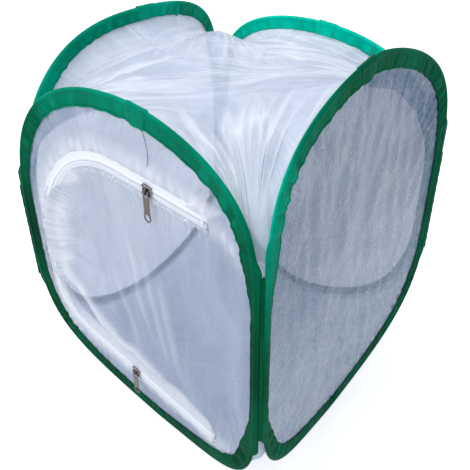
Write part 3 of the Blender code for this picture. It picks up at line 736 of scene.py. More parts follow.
# Geometry Nodes: copies of one item along a path
def makePathTree():
    tree = bpy.data.node_groups.new("items along a path", "GeometryNodeTree")
    addSockets(tree, dict(
        Path=("Geometry", None), Item=("Object", None), Spacing=("Float", 0.003), Size=("Float", 1.0),
        Unevenness=("Float", 0.0), Seed=("Int", 0), Finish=("Material", None),
    ))
    tree.interface.new_socket(name="Items", in_out="OUTPUT", socket_type="NodeSocketGeometry")
    given = addNode(tree, "NodeGroupInput").outputs
    curve = addNode(tree, "GeometryNodeMeshToCurve", dict(Mesh=given["Path"])).outputs[0]
    spaced = addNode(
        tree, "GeometryNodeResampleCurve", dict(Curve=curve, Length=given["Spacing"]), mode="LENGTH",
    )
    facing = addNode(tree, "GeometryNodeInputNamedAttribute", dict(Name="facing"), data_type="FLOAT_VECTOR")
    tangent = addNode(tree, "GeometryNodeInputTangent").outputs[0]
    ahead = addNode(tree, "FunctionNodeAlignRotationToVector", dict(Vector=tangent), axis="X").outputs[0]
    upright = addNode(
        tree, "FunctionNodeAlignRotationToVector", dict(Rotation=ahead, Vector=facing.outputs["Attribute"]),
        axis="Z", pivot_axis="X",
    )
    spread = addNode(tree, "FunctionNodeRandomValue", data_type="FLOAT")
    sockets = {s.identifier: s for s in spread.inputs}
    sizes = {0: given["Size"], 1: given["Unevenness"]}
    for place, operation in (("Min_001", "SUBTRACT"), ("Max_001", "ADD")):
        feed(sockets[place], addNode(tree, "ShaderNodeMath", sizes, operation=operation).outputs[0])
    feed(sockets["Seed"], given["Seed"])
    item = addNode(tree, "GeometryNodeObjectInfo", dict(Object=given["Item"])).outputs["Geometry"]
    scale = next(s for s in spread.outputs if s.identifier == "Value_001")
    copies = addNode(tree, "GeometryNodeInstanceOnPoints", dict(
        Points=spaced.outputs[0], Instance=item, Rotation=upright.outputs[0], Scale=scale,
    ))
    real = addNode(tree, "GeometryNodeRealizeInstances", {0: copies.outputs[0]}).outputs[0]
    finish = addNode(tree, "GeometryNodeSetMaterial", dict(Geometry=real, Material=given["Finish"]))
    addNode(tree, "NodeGroupOutput", {0: finish.outputs[0]})
    return tree


pathTree = makePathTree()


def meshOf(shape):
    return bpy.data.meshes.new_from_object(shape.evaluated_get(bpy.context.evaluated_depsgraph_get()))


def itemsAlong(name, paths, item, spacing, finish, unevenness=0.0, seed=1, closed=False):
    mesh = bpy.data.meshes.new(name + "_path")
    points, edges, facings = [], [], []
    for path, facing in paths:
        start, count = len(points), len(path)
        points += path.tolist()
        facings += facing.tolist()
        edges += [(start + k, start + k + 1) for k in range(count - 1)]
        if closed:
            edges.append((start + count - 1, start))
    mesh.from_pydata(points, edges, [])
    mark = mesh.attributes.new("facing", "FLOAT_VECTOR", "POINT")
    mark.data.foreach_set("vector", np.asarray(facings, np.float32).ravel())
    carrier = addObject(name + "_path", mesh)
    row = carrier.modifiers.new("items", "NODES")
    row.node_group = pathTree
    values = dict(Item=item, Spacing=spacing, Size=1.0, Unevenness=unevenness, Seed=seed, Finish=finish)
    for socket in pathTree.interface.items_tree:
        if socket.in_out == "INPUT" and socket.name in values:
            row[socket.identifier] = values[socket.name]
    made = addObject(name, meshOf(carrier))
    carrier.modifiers.clear()
    bpy.data.objects.remove(carrier, do_unlink=True)
    return made


def hideItem(piece):
    scene.collection.objects.unlink(piece)
    return piece


# The binding: tape folded over the wire, from its edge on one face to its edge on the other
binding = dict(
    stations=560, wave=(0.0070, 0.0260), gather=0.00046, cornerBend=9.0, wobble=0.00042, crease=0.00060,
    creases=26, creaseHalf=0.0011, creaseBeside=0.0034, narrowFrom=0.0044, thinnest=0.00045,
    stitchSpacing=0.0030, stitchRow=3, stitchLift=0.00012,
)
# (depth in mm, offset in mm, how much it gathers, how much it rubs)
bindingHalf = (
    (15.0, 0.82, 1.0, 0.9), (14.5, 1.02, 1.0, 0.5), (13.8, 0.80, 0.5, 0.0), (13.15, 0.62, 0.3, 0.0),
    (12.4, 0.82, 0.6, 0.0), (10.8, 1.08, 1.0, 0.0), (8.4, 1.14, 1.0, 0.0), (6.0, 1.10, 0.7, 0.0),
    (4.4, 1.12, 0.3, 0.0), (3.3, 1.36, 0.15, 0.1), (2.5, 1.74, 0.0, 0.35), (1.7, 1.86, 0.0, 0.6),
    (0.9, 1.60, 0.0, 0.8), (0.25, 1.05, 0.0, 0.8), (-0.05, 0.40, 0.0, 0.7),
)
innerPicks = (0, 3, 5, 7, 9, 10, 11, 12, 14)


# How sharply the hoop bends, in shares of a usual corner's bend.
def cornering(name, arcs):
    return readField(fields[name], "bend", arcs) / binding["cornerBend"]


def bindingGather(name, arc, depth, side):
    field, seed = fields[name], hoops[name]["seed"] + (100 if side < 0 else 0)
    slanted = arc + depth * waves(arc, (0.05, 0.12), seed + 1, 3) * 0.35
    tight = np.clip(cornering(name, arc), 0.0, 1.6)
    patchy = 0.25 + 0.35 * np.clip(waves(arc, (0.05, 0.16), seed + 2, 4), 0.0, 2.0) + 1.0 * tight
    height = binding["gather"] * patchy * waves(slanted, binding["wave"], seed + 3, 9)
    rng = np.random.default_rng(seed + 4)
    for place in rng.uniform(0, field["total"], binding["creases"]):
        size = rng.uniform(0.4, 1.0) * (0.35 + 1.2 * float(cornering(name, place)))
        gap = np.remainder(slanted - place + field["total"] / 2, field["total"]) - field["total"] / 2
        dip, beside = (np.exp(-(gap / binding[key]) ** 2) for key in ("creaseHalf", "creaseBeside"))
        height = height - binding["crease"] * min(size, 1.3) * (dip - 0.55 * beside)
    return height


# Painted light and shade on the tape, in stops: a level at the foot, more at the crown, more up the side of
# u < 0, more on its inner face, and more down both sides below the crown, with a slow random change of tone
# added.
tapePaintedLight = dict(
    front=(-0.62, 1.75, 0.0, 0.3, -0.62), right=(-0.40, 0.30, 1.45, 0.5, -0.10),
    back=(-0.40, 0.60, 0.0, 2.1, 0.0), left=(-0.40, 0.60, 0.0, 1.2, 0.0),
)


def toneAndPaintedLightAt(name, arcs, side):
    foot, crown, edge, inner, sides = tapePaintedLight[name]
    flat = readField(fields[name], "flat", arcs)
    high = flat[..., 1] / hoops[name]["height"]
    tone = foot + crown * smooth(high, 0.40, 1.0)
    tone = tone + inner * (side < 0) * (0.55 + 0.45 * smooth(high, 0.25, 0.75))
    upper = riseAndFall(high, 0.50, 0.72, 0.88, 1.0)
    tone = tone + edge * smooth(-flat[..., 0], 0.03, 0.12) * upper
    tone = tone + sides * smooth(np.abs(flat[..., 0]), 0.085, 0.128) * smooth(high, 0.30, 0.55)
    return tone + 0.22 * waves(arcs, (0.06, 0.20), hoops[name]["seed"] + 80, 4)


# How much of the tape's width still shows where a seam takes it up, on the side of u > 0 and of u < 0.
seamWidth = dict(front=(0.22, 0.70), right=(0.70, 0.16), back=(0.60, 0.60), left=(0.60, 0.60))


def seamShare(name, arcs):
    flat = readField(fields[name], "flat", arcs)
    shown = np.where(flat[..., 0] > 0, *seamWidth[name])
    inSeam = riseAndFall(flat[..., 1], 0.080, 0.135, 0.225, 0.280)
    inSeam = inSeam * smooth(np.abs(flat[..., 0]), 0.126, 0.142)
    return 1 - (1 - shown) * inSeam


# Outer and inner skins of the tape at these arcs, one column for each point of the profile.
def bindingSkin(name, arcs, lift=0.0):
    field = fields[name]
    half = np.array(bindingHalf)
    full = np.vstack([half, (half * (1, -1, 1, 1))[::-1]])
    depth = np.broadcast_to(full[:, 0] / 1000, arcs.shape).copy()
    side = np.sign(full[:, 1])
    offset = np.abs(np.broadcast_to(full[:, 1] / 1000, arcs.shape)).copy()
    gather = np.zeros(arcs.shape)
    for way in (1, -1):
        cols = side == way
        gather[:, cols] = bindingGather(name, arcs[:, cols], depth[:, cols], way) * full[cols, 2]
        wobble = binding["wobble"] * waves(arcs[:, cols], (0.016, 0.060), hoops[name]["seed"] + 50 + way, 5)
        depth[:, cols] += wobble * smooth(depth[:, cols], 0.010, 0.015)
    beyond = np.maximum(depth - binding["narrowFrom"], 0.0)
    depth = depth - beyond * (1 - seamShare(name, arcs))
    offset = np.maximum(offset + gather, binding["thinnest"]) + lift
    depth = np.where(depth > 0.006, depth + lift, depth - lift * smooth(-depth, -0.0012, 0.0001))
    gap = cage["finReach"] - np.abs(readField(field, "flat", arcs)[..., 0])
    share = np.clip(1 - (gap - cage["finGap"]) / 0.0016, 0.0, 1.0)
    reach = share * gap / np.maximum(np.abs(readField(field, "sideShare", arcs)), 0.5)
    nose = np.clip((0.0009 - depth) / 0.0009, 0.0, 1.0)
    depth = depth - reach * nose ** 1.5
    offset = offset + (cage["finHalf"] - offset) * share * nose
    return fromHoop(name, arcs, depth, offset * side), depth, offset * side, gather, full[:, 3]


wire = dict(radius=0.0007, depth=0.00185, stations=260, sides=10)
# The tape's thickness where it lies flat, and how far it closes in round the wire
innerTape = dict(flatFrom=0.0032, thick=0.00034, closest=0.00026, edge=0.00008, share=0.74)


def innerSkin(name, arcs, depth, offset):
    picks = list(innerPicks) + [2 * len(bindingHalf) - 1 - k for k in reversed(innerPicks)]
    d, n = depth[:, picks], offset[:, picks]
    flat = d > innerTape["flatFrom"]
    thinner = np.sign(n) * np.maximum(np.abs(n) - innerTape["thick"], innerTape["closest"])
    nIn = np.where(flat, thinner, n * innerTape["share"])
    dIn = np.where(flat, d - innerTape["edge"], wire["depth"] + (d - wire["depth"]) * innerTape["share"])
    return fromHoop(name, arcs[:, picks], dIn, nIn)[:, ::-1]


def loopUv(arcs, points):
    steps = np.linalg.norm(np.diff(wrapped(points), axis=1), axis=2).mean(0)
    return uvGrid(arcs, np.append(0.0, np.cumsum(steps)))


def addBinding(name):
    field = fields[name]
    arcs = hoopArcs(name, binding["stations"])
    columns = np.repeat(arcs[:, None], 2 * len(bindingHalf), axis=1)
    outer, depth, offset, gather, edge = bindingSkin(name, columns)
    inner = innerSkin(name, columns, depth, offset)
    points = np.concatenate([outer, inner], axis=1)
    uv = loopUv(np.append(arcs, field["total"]), points)
    edges = np.broadcast_to(np.append(edge, np.zeros(inner.shape[1])), points.shape[:2])
    raised = np.concatenate([gather, np.zeros(inner.shape[:2])], axis=1) / binding["gather"]
    side = np.concatenate([np.sign(offset), np.zeros(inner.shape[:2])], axis=1)
    # Painted light and shade: the tone mark carries the tape's painted light and shade with its random tone,
    # and the gather mark paints raised gathers lighter and creases darker.
    piece = makeGrid(
        name + "_binding", points, uv, tapeFinish, wrapRows=True, wrapColumns=True,
        marks=dict(edge=edges, gather=np.clip(raised * 0.5, -1.0, 1.0),
                   tone=toneAndPaintedLightAt(name, np.broadcast_to(arcs[:, None], points.shape[:2]), side)),
    )
    handOver(piece, "binding_" + name, name)
    normal = readField(field, "normal", arcs)
    row, above = binding["stitchRow"], normal * binding["stitchLift"]
    paths = [(outer[:, row] + above, normal), (outer[:, outer.shape[1] - 1 - row] - above, -normal)]
    stitches = itemsAlong(
        name + "_stitches", paths, stitchItem, binding["stitchSpacing"], stitchFinish, 0.08,
        hoops[name]["seed"], closed=True,
    )
    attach(stitches, name)


# One stitch lying along X, sunk at both ends.
def makeStitch():
    x = np.linspace(-1, 1, 7)
    path = np.stack([x * 0.00125, 0 * x, 0.00016 * (1 - x ** 2) - 0.00012], axis=1)
    radius = 0.00022 * np.sqrt(np.clip(1.04 - x ** 4, 0.04, 1))
    return makeTube("stitch", path, radius, 6, up, stitchFinish, x * 0.00125, 0.0002)


stitchItem = hideItem(makeStitch())


# Cut thread ends at the laps: where along the tape, which way, how long and how curled.
lapThreads = dict(
    right=((-0.004, 0.35, 0.0120, 0.003), (0.006, -0.55, 0.0110, -0.002)),
    back=((0.003, 0.8, 0.0060, 0.002),),
)


# The lap in metres; its seams are placed in shares of its half length.
lap = dict(
    half=0.0098, lift=0.00048, slant=0.0022, slantMiddle=0.008, slantReach=0.007, seams=(-0.80, 0.72),
    seamDepths=(0.0145, 0.0012), spacing=0.0027, raised=0.0001, under=0.00006, thread=0.00022,
)


# The tape's two ends lap over each other on a slant, with the raw end turned under.
def addLap(name):
    field = fields[name]
    half, slant = lap["half"], lap["slant"]
    profile = np.array(bindingHalf)[:, 0] / 1000
    depth = np.append(profile, profile[::-1])
    way = np.append(np.ones(len(profile)), -np.ones(len(profile)))
    t = np.array((
        -1.0, -0.985, -0.95, -0.88, -0.7, -0.45, -0.2, 0.05, 0.3, 0.55, 0.78, 0.9, 0.96, 0.985, 1.0,
    ))
    lean = (depth - lap["slantMiddle"]) / lap["slantReach"]
    arcs = field["lapAt"] + t[:, None] * half
    arcs = arcs + lean * slant * np.where(t < 0, 1.0, -0.6)[:, None] * np.abs(t)[:, None] + way * 0.0004
    lift = lap["lift"] * (1 - 0.75 * smooth(np.abs(t), 0.95, 1.0))
    lift = lift + 0.0003 * riseAndFall(t, 0.2, 0.9, 0.9, 1.0)
    outer = bindingSkin(name, arcs, lift[:, None])[0]
    inner = bindingSkin(name, arcs, lap["under"])[0][:, ::-1]
    points = np.concatenate([outer, inner], axis=1)
    uv = loopUv(t * half, points)
    edge = np.broadcast_to((smooth(np.abs(t), 0.85, 0.99) * 0.6)[:, None], points.shape[:2])
    # The tone mark carries the tape's painted light and shade, as on the binding.
    patch = makeGrid(name + "_lap", points, uv, tapeFinish, wrapColumns=True, caps=True,
                     marks=dict(edge=edge, gather=np.zeros(points.shape[:2]),
                                tone=toneAndPaintedLightAt(name, np.concatenate([arcs, arcs[:, ::-1]], axis=1),
                                            np.concatenate([way, way[::-1]])[None])))
    rows = []
    for place in lap["seams"]:
        base = field["lapAt"] + place * half
        for sideWay in (1, -1):
            d = np.linspace(*lap["seamDepths"], 24)
            lean = (d - lap["slantMiddle"]) / lap["slantReach"]
            a = base + lean * slant * (1.0 if place < 0 else -0.6) * abs(place)
            across = np.repeat(a[:, None], len(depth), axis=1)
            deep, high = bindingSkin(name, across, lap["lift"] + lap["raised"])[1:3]
            pick = np.flatnonzero(way == sideWay)
            pick = pick[np.argsort(deep[0, pick])]
            n = np.array([np.interp(x, deep[k, pick], high[k, pick]) for k, x in enumerate(d)])
            rows.append((fromHoop(name, a, d, n), readField(field, "normal", a) * sideWay))
    parts = [patch, itemsAlong(name + "_lap_seam", rows, stitchItem, lap["spacing"], darkThread, 0.1, 5)]
    for place, turn, length, curl in lapThreads.get(name, ()):
        arc = field["lapAt"] + place
        inward, normal = (readField(field, key, arc) for key in ("inward", "normal"))
        beside = unit(np.cross(normal, inward))
        run = np.linspace(0, 1, 14)[:, None]
        ahead = unit(0.25 * normal - inward) * math.cos(turn) + beside * math.sin(turn)
        path = fromHoop(name, arc, -0.0002, 0.0004) + ahead * length * run + beside * curl * run ** 2
        parts.append(makeTube(
            name + "_thread_end", path, lap["thread"], 6, up, darkThread, run[:, 0] * length, 0.0002,
        ))
    piece = joinPieces(name + "_tape_joint", parts)
    handOver(piece, "tape_lap_" + name, name)


def addWire(name):
    arcs = hoopArcs(name, wire["stations"])
    turn = turns(wire["sides"])
    depth = wire["depth"] + wire["radius"] * np.cos(turn)
    rings = fromHoop(name, arcs[:, None], depth[None], (wire["radius"] * np.sin(turn))[None])
    uv = uvGrid(np.append(arcs, fields[name]["total"]), np.append(turn, 2 * np.pi) * wire["radius"])
    piece = makeGrid(name + "_spring_wire", rings, uv, steelFinish, wrapRows=True, wrapColumns=True)
    handOver(piece, "hoop_wire_" + name, name)


for hoopName in hoops:
    addBinding(hoopName)
    addLap(hoopName)
    addWire(hoopName)
print("bindings, laps, stitches and wires built")

# Corner seams: piping with a twist
piping = dict(radius=0.00128, sides=14, turns=90.0, depth=0.10)
cornerPlaces = {
    "front_right": onWall("front", cage["side"] / 2, 0.0, 0.0),
    "front_left": onWall("front", -cage["side"] / 2, 0.0, 0.0),
    "back_right": onWall("back", -cage["side"] / 2, 0.0, 0.0),
    "back_left": onWall("back", cage["side"] / 2, 0.0, 0.0),
}


def seamSpan(name, mirror):
    flat = hoopOutline(name)
    near = flat[flat[:, 0] * mirror > cage["finReach"] - cage["finGap"], 1]
    return near.min(), near.max()


seamEnds = {}
for corner, ends, body in (
    ("front_right", (("front", 1), ("right", -1)), "front"),
    ("front_left", (("front", -1), ("left", 1)), "front"),
    ("back_right", (("back", -1), ("right", 1)), "right"),
    ("back_left", (("back", 1), ("left", -1)), "left"),
):
    spans = [seamSpan(*end) for end in ends]
    low, high = max(s[0] for s in spans), min(s[1] for s in spans)
    for end in ends:
        seamEnds[end] = (low, high)
    z = np.linspace(low, high, 150)
    turn = turns(piping["sides"])
    taper = np.sqrt(np.clip(np.minimum(z - low, high - z) / 0.002 + 0.12, 0, 1))
    twist = 1 + piping["depth"] * np.sin(2 * turn[None] + z[:, None] * piping["turns"] * 2 * np.pi)
    radius = piping["radius"] * taper[:, None] * (twist / (1 + piping["depth"]))
    rings = np.stack([
        cornerPlaces[corner][0] + radius * np.cos(turn), cornerPlaces[corner][1] + radius * np.sin(turn),
        np.broadcast_to(z[:, None], radius.shape),
    ], axis=-1)
    uv = uvGrid(z, np.append(turn, 2 * np.pi) * piping["radius"])
    piece = makeGrid(corner + "_piping", rings, uv, seamFinish, wrapColumns=True, caps=True)
    handOver(piece, "seam_cord_" + corner, body)
print("corner seams built")

# Side walls of net and the clear window
wall = dict(
    spokes=360, rows=46, rimGather=0.0009, gatherLength=(0.007, 0.018), sewn=(0.0034, 0.008, 0.012),
    start=0.0155,
)
wallFolds = {
    "left": dict(seed=31, sway=0.0009, lengths=(0.04, 0.12), lean=(0.0, math.pi)),
    "back": dict(seed=47, sway=0.0009, lengths=(0.04, 0.12), lean=(0.0, math.pi)),
    "right": dict(seed=53, sway=0.0011, lengths=(0.018, 0.060), lean=(-0.35, 0.30)),
}
uprights = dict(apart=0.021, height=0.0003, sharp=1.5)


# The film's cracks: start, end, width, height
filmFolds = (
    ((0.118, 0.318), (0.128, 0.20), 0.006, 0.0022), ((0.122, 0.26), (0.075, 0.11), 0.004, 0.0016),
    ((0.130, 0.20), (0.095, 0.10), 0.003, -0.0014), ((0.105, 0.28), (0.085, 0.16), 0.005, 0.0013),
    ((-0.10, 0.315), (-0.125, 0.215), 0.004, 0.0018), ((-0.085, 0.33), (-0.112, 0.24), 0.004, -0.0013),
    ((-0.01, 0.02), (0.03, 0.045), 0.005, 0.0014), ((-0.045, 0.055), (0.02, 0.075), 0.006, -0.0012),
    ((0.02, 0.33), (0.035, 0.22), 0.006, 0.0013), ((-0.03, 0.34), (-0.02, 0.20), 0.005, 0.0010),
)


# How far the rim's gathers lift the cloth, dying away from the binding.
def rimGathers(name, arcs, reach):
    seed = hoops[name]["seed"] + 60
    strength = 0.35 + 0.9 * np.clip(cornering(name, arcs), 0.0, 1.2)
    wave = waves(arcs, wall["gatherLength"], seed, 8) * strength * wall["rimGather"]
    return wave[None, :] * smooth(reach, 0.013, 0.019) * np.exp(-np.maximum(reach - 0.015, 0) / 0.016)


# The rows of a wall that lie inside its binding, and where the open cloth starts.
def rimRows(name, arcs):
    rows = [fromHoop(name, arcs, d, 0.0) for d in wall["sewn"]]
    return rows, [np.full(len(arcs), d) for d in wall["sewn"]], fromHoop(name, arcs, wall["start"], 0.0)


def wallSurface(name):
    arcs = hoopArcs(name, wall["spokes"])
    outward, height = outwards[name], hoops[name]["height"] / 2
    middle = onWall(name, 0.0, -cage["panelDepth"], height)
    level = middle @ outward
    rows, reach, second = rimRows(name, arcs)
    far = np.linalg.norm(second - middle, axis=1)
    wide, tall = cage["halfWidth"], hoops[name]["height"]
    rise = second @ outward - level
    for share in np.linspace(0, 1, wall["rows"], endpoint=False) ** 1.15:
        q = second + (middle - second) * share
        lift = mainFold(name, *wallCoordinates(name, q), wide, tall)
        lift = lift * smooth(share, 0.0, mainFolds["wallFade"])
        q = q + outward * (level + rise * (1 - share) ** 2 - q @ outward + lift)[:, None]
        rows.append(q)
        reach.append(wall["start"] + far * share)
    middle = middle + outward * float(mainFold(name, *wallCoordinates(name, middle), wide, tall))
    return arcs, np.stack(rows), np.stack(reach), middle


def wallCoordinates(name, points):
    centre, along = wallFrames[name]
    return (points - centre) @ along, points[..., 2]


def sheetArea(points, middle=None):
    a, b = points[:-1], np.roll(points, -1, axis=1)[:-1]
    c, d = np.roll(points, -1, axis=1)[1:], points[1:]
    total = sum(np.linalg.norm(np.cross(p - a, q - a), axis=-1).sum() for p, q in ((b, c), (c, d)))
    if middle is not None:
        last, after = points[-1] - middle, np.roll(points[-1], -1, axis=0) - middle
        total += np.linalg.norm(np.cross(last, after), axis=-1).sum()
    return float(total / 2)


def addWall(name, node, finish, slot, body):
    spec = wallFolds[name]
    arcs, points, reach, middle = wallSurface(name)
    area = sheetArea(points, middle)
    u, z = wallCoordinates(name, points)
    lift = rimGathers(name, arcs, reach)

    def swayAt(u, z):
        return spec["sway"] * ripples(u, z, spec["lengths"], spec["seed"], 9, spec["lean"])

    sway = swayAt(u, z)
    if name == "right":
        # Film creases in long uprights, strongest near the top, with a few cracks of its own.
        bent = u / uprights["apart"] + 0.5 * ripples(u, z, (0.07, 0.2), 5, 5)
        ridge = (1 - np.abs(np.sin(np.pi * bent))) ** uprights["sharp"] - 0.35
        sway = sway + uprights["height"] * ridge * (0.3 + 0.9 * smooth(z, 0.12, 0.30))
        sway = sway + sumFolds(u, z, filmFolds)
    bunched = np.clip(np.abs(lift) / wall["rimGather"] * 0.5, 0, 1)
    offset = (lift + sway * smooth(reach, 0.016, 0.050)) * smooth(reach, 0.0125, 0.02)
    moved = points + outwards[name] * offset[..., None]
    uv = wrapped(np.stack([u, z], axis=-1))
    centre = moved[-1].mean(0) if name == "right" else middle + outwards[name] * swayAt(0.0, middle[2])
    piece = makeGrid(name + "_wall_" + slot, moved, uv, finish, wrapColumns=True,
                     middle=(centre, (0.0, middle[2])), facing=outwards[name], marks=dict(gather=bunched))
    handOver(piece, node, body)
    wide, tall = 2 * cage["halfWidth"], hoops[name]["height"]
    area = min(area, wide * tall)


addWall("left", "left_mesh", netFront, "mesh", "left")
addWall("back", "back_mesh", netFront, "mesh", "back")
addWall("right", "clear_window", filmFinish, "window", "right")
print("side walls built")

# The zip's line round the door, in (sideways, height)
door = dict(
    plane=0.139, bowStart=-0.080, bowEnd=-0.131, bowRise=0.0064, hinge=0.092,
    top=((0.092, 0.2745), (-0.120, 0.2860)), foot=((-0.120, 0.0765), (0.092, 0.0530)),
    radiusTop=0.104, radiusFoot=0.045, clothEdge=0.0046, relief=0.0013, middle=(-0.010, 0.165),
    spacing=0.0016,
)
doorLevel = door["plane"] - cage["side"] / 2 * math.cos(cage["skew"])


def roundCorner(before, corner, after, radius, steps=48):
    before, corner, after = (np.array(p, float) for p in (before, corner, after))
    a, b = unit(before - corner), unit(after - corner)
    half = math.acos(float(a @ b)) / 2
    reach = radius / math.tan(half)
    centre = corner + unit(a + b) * radius / math.sin(half)
    first, last = corner + a * reach - centre, corner + b * reach - centre
    sweep = math.atan2(first[0] * last[1] - first[1] * last[0], float(first @ last))
    turn = sweep * np.arange(steps + 1) / steps
    c, s = np.cos(turn), np.sin(turn)
    return centre + np.stack([first[0] * c - first[1] * s, first[0] * s + first[1] * c], axis=1)


def makeTrack():
    line = np.vstack([
        [door["top"][0]], roundCorner(door["top"][0], door["top"][1], door["foot"][0], door["radiusTop"]),
        roundCorner(door["top"][1], door["foot"][0], door["foot"][1], door["radiusFoot"]), [door["foot"][1]],
    ])
    run = lengthsAlong(line)
    arcs = np.linspace(0, run[-1], int(run[-1] / door["spacing"]) + 1)
    track = between(arcs, run, line)
    tangent = unit(np.gradient(track, axis=0))
    normal = np.stack([tangent[:, 1], -tangent[:, 0]], axis=1)
    if normal[0, 1] < 0:
        normal = -normal
    normal[0], normal[-1] = (0.0, 1.0), (0.0, -1.0)
    return track, normal, arcs


track, trackNormal, trackArcs = makeTrack()
trackLength = trackArcs[-1]


def onDoor(flat, n=0.0):
    flat = np.asarray(flat, float)
    share = np.maximum(door["bowStart"] - flat[..., 0], 0.0) / (door["bowStart"] - door["bowEnd"])
    return onWall("front", flat[..., 0], doorLevel + door["bowRise"] * share ** 2 + n, flat[..., 1])


def doorFacing(flat):
    share = np.maximum(door["bowStart"] - flat[:, 0], 0.0) / (door["bowStart"] - door["bowEnd"])
    slope = -2 * door["bowRise"] * share / (door["bowStart"] - door["bowEnd"])
    return unit(outwards["front"] - sideways * slope[:, None])


# Front wall round the door: how far the net is doubled beside the zip, and the band bunched past its ends
frontWall = dict(
    spokes=420, rows=14, beside=0.0086, besideHinge=0.012, hingeGap=0.00004, sway=0.0010, pucker=0.0006,
    raised=0.0021, doubled=0.95, doubledReach=(0.002, 0.018), bandHalf=0.0085, bandSlopes=(-0.42, -0.30),
)
frontFolds = (
    # start, end, width, height: soft creases of the wall outside the zip
    ((-0.128, 0.150), (-0.070, 0.075), 0.007, 0.0016), ((-0.120, 0.120), (-0.060, 0.060), 0.004, -0.0012),
    ((0.112, 0.24), (0.128, 0.10), 0.007, 0.0012), ((-0.06, 0.31), (0.02, 0.315), 0.006, 0.0010),
    ((0.055, 0.30), (0.110, 0.25), 0.006, 0.0012), ((-0.02, 0.030), (0.08, 0.020), 0.006, 0.0012),
)


def outlineAt(reach, beyond):
    loop = track + trackNormal * reach
    loop[0, 0] = loop[-1, 0] = door["hinge"] + beyond
    back = np.linspace(0, 1, 60)[1:-1, None]
    return np.vstack([loop, loop[-1] * (1 - back) + loop[0] * back])


def crossed(a, b):
    return a[..., 0] * b[..., 1] - a[..., 1] * b[..., 0]


# Where rays from the door's middle to these places meet the loop.
def meetOutline(targets, loop):
    start = np.array(door["middle"])
    ray = targets - start
    edge = (np.roll(loop, -1, axis=0) - loop)[None]
    cross = crossed(ray[:, None], edge)
    cross = np.where(np.abs(cross) < 1e-12, 1e-12, cross)
    t = crossed((loop - start)[None], edge) / cross
    s = crossed((loop - start)[None], ray[:, None]) / cross
    good = (t > 0) & (s >= -1e-6) & (s <= 1 + 1e-6)
    return start + ray * np.where(good, t, 9.0).min(1)[:, None]


def addFrontWall():
    field, outward = fields["front"], outwards["front"]
    arcs = hoopArcs("front", frontWall["spokes"])
    flat = readField(field, "flat", arcs)
    near = meetOutline(flat, outlineAt(frontWall["beside"], frontWall["besideHinge"]))
    last = meetOutline(flat, outlineAt(door["clothEdge"], frontWall["hingeGap"]))
    rows, reach, second = rimRows("front", arcs)
    target = onDoor(near, -door["relief"])
    far = np.linalg.norm(target - second, axis=1)
    for share in np.linspace(0, 1, frontWall["rows"]):
        q = second + (target - second) * share
        rise = second @ outward - target @ outward
        q = q + outward * (target @ outward + rise * (1 - share) ** 1.75 - q @ outward)[:, None]
        rows.append(q)
        reach.append(wall["start"] + far * share)
    hingeSide = smooth(last[:, 0], door["hinge"] - 0.004, door["hinge"] - 0.0005)
    for share in (0.33, 0.66, 1.0):
        flatRow = near + (last - near) * share
        rows.append(onDoor(flatRow, -door["relief"] * (1 - (0.7 + 0.3 * hingeSide) * share)))
        reach.append(reach[-1] + 0.0013)
    points, reach = np.stack(rows), np.stack(reach)
    area = sheetArea(points)
    u, z = wallCoordinates("front", points)
    lift = rimGathers("front", arcs, reach)
    toZip = (far + wall["start"])[None] - reach
    inOpen = smooth(reach, 0.015, 0.030) * smooth(toZip, 0.0, 0.012)
    sway = frontWall["sway"] * ripples(u, z, (0.03, 0.10), 71, 8) + sumFolds(u, z, frontFolds)
    # The net is gathered where it was sewn over the zip's tape.
    besideZip = 1 - smooth(near[:, 0], door["hinge"] + 0.004, door["hinge"] + 0.011)
    pucker = frontWall["pucker"] * ripples(u, z, (0.008, 0.02), 77, 8) * smooth(toZip, 0.0, 0.004)
    pucker = pucker * np.exp(-np.abs(toZip) / 0.010)
    covered = np.maximum(1 - smooth(near[:, 1], 0.215, 0.262), smooth(near[:, 0], 0.060, 0.080))
    pucker = pucker + frontWall["raised"] * (1 - smooth(toZip, -0.0005, 0.003)) * (besideZip * covered)[None]
    # The seam allowance doubles the net beside the zip, but not beside the hinge.
    allowance = frontWall["doubled"] * (1 - smooth(toZip, *frontWall["doubledReach"])) * besideZip[None]
    # Past each end of the zip the net is doubled and bunched as far as the binding.
    for endAt, slope in zip((door["top"][0], door["foot"][1]), frontWall["bandSlopes"]):
        past = u - endAt[0]
        line = endAt[1] + slope * np.maximum(past, 0.0)
        band = np.exp(-((z - line) / frontWall["bandHalf"]) ** 2) * frontWall["doubled"]
        allowance = np.maximum(allowance, band * riseAndFall(past, -0.012, 0.002, 0.016, 0.046))
    moved = points + outward * (lift * smooth(toZip, 0, 0.004) + sway * inOpen + pucker)[..., None]
    patchy = 0.82 + 0.18 * ripples(u, z, (0.01, 0.03), 79, 6)
    gather = np.clip(np.abs(lift) / wall["rimGather"] * 0.22 + allowance * patchy, 0, 1)
    piece = makeGrid("front_wall_net", moved, wrapped(np.stack([u, z], axis=-1)), netFront, wrapColumns=True,
                     facing=outward, marks=dict(gather=gather))
    handOver(piece, "front_mesh", "front")


addFrontWall()
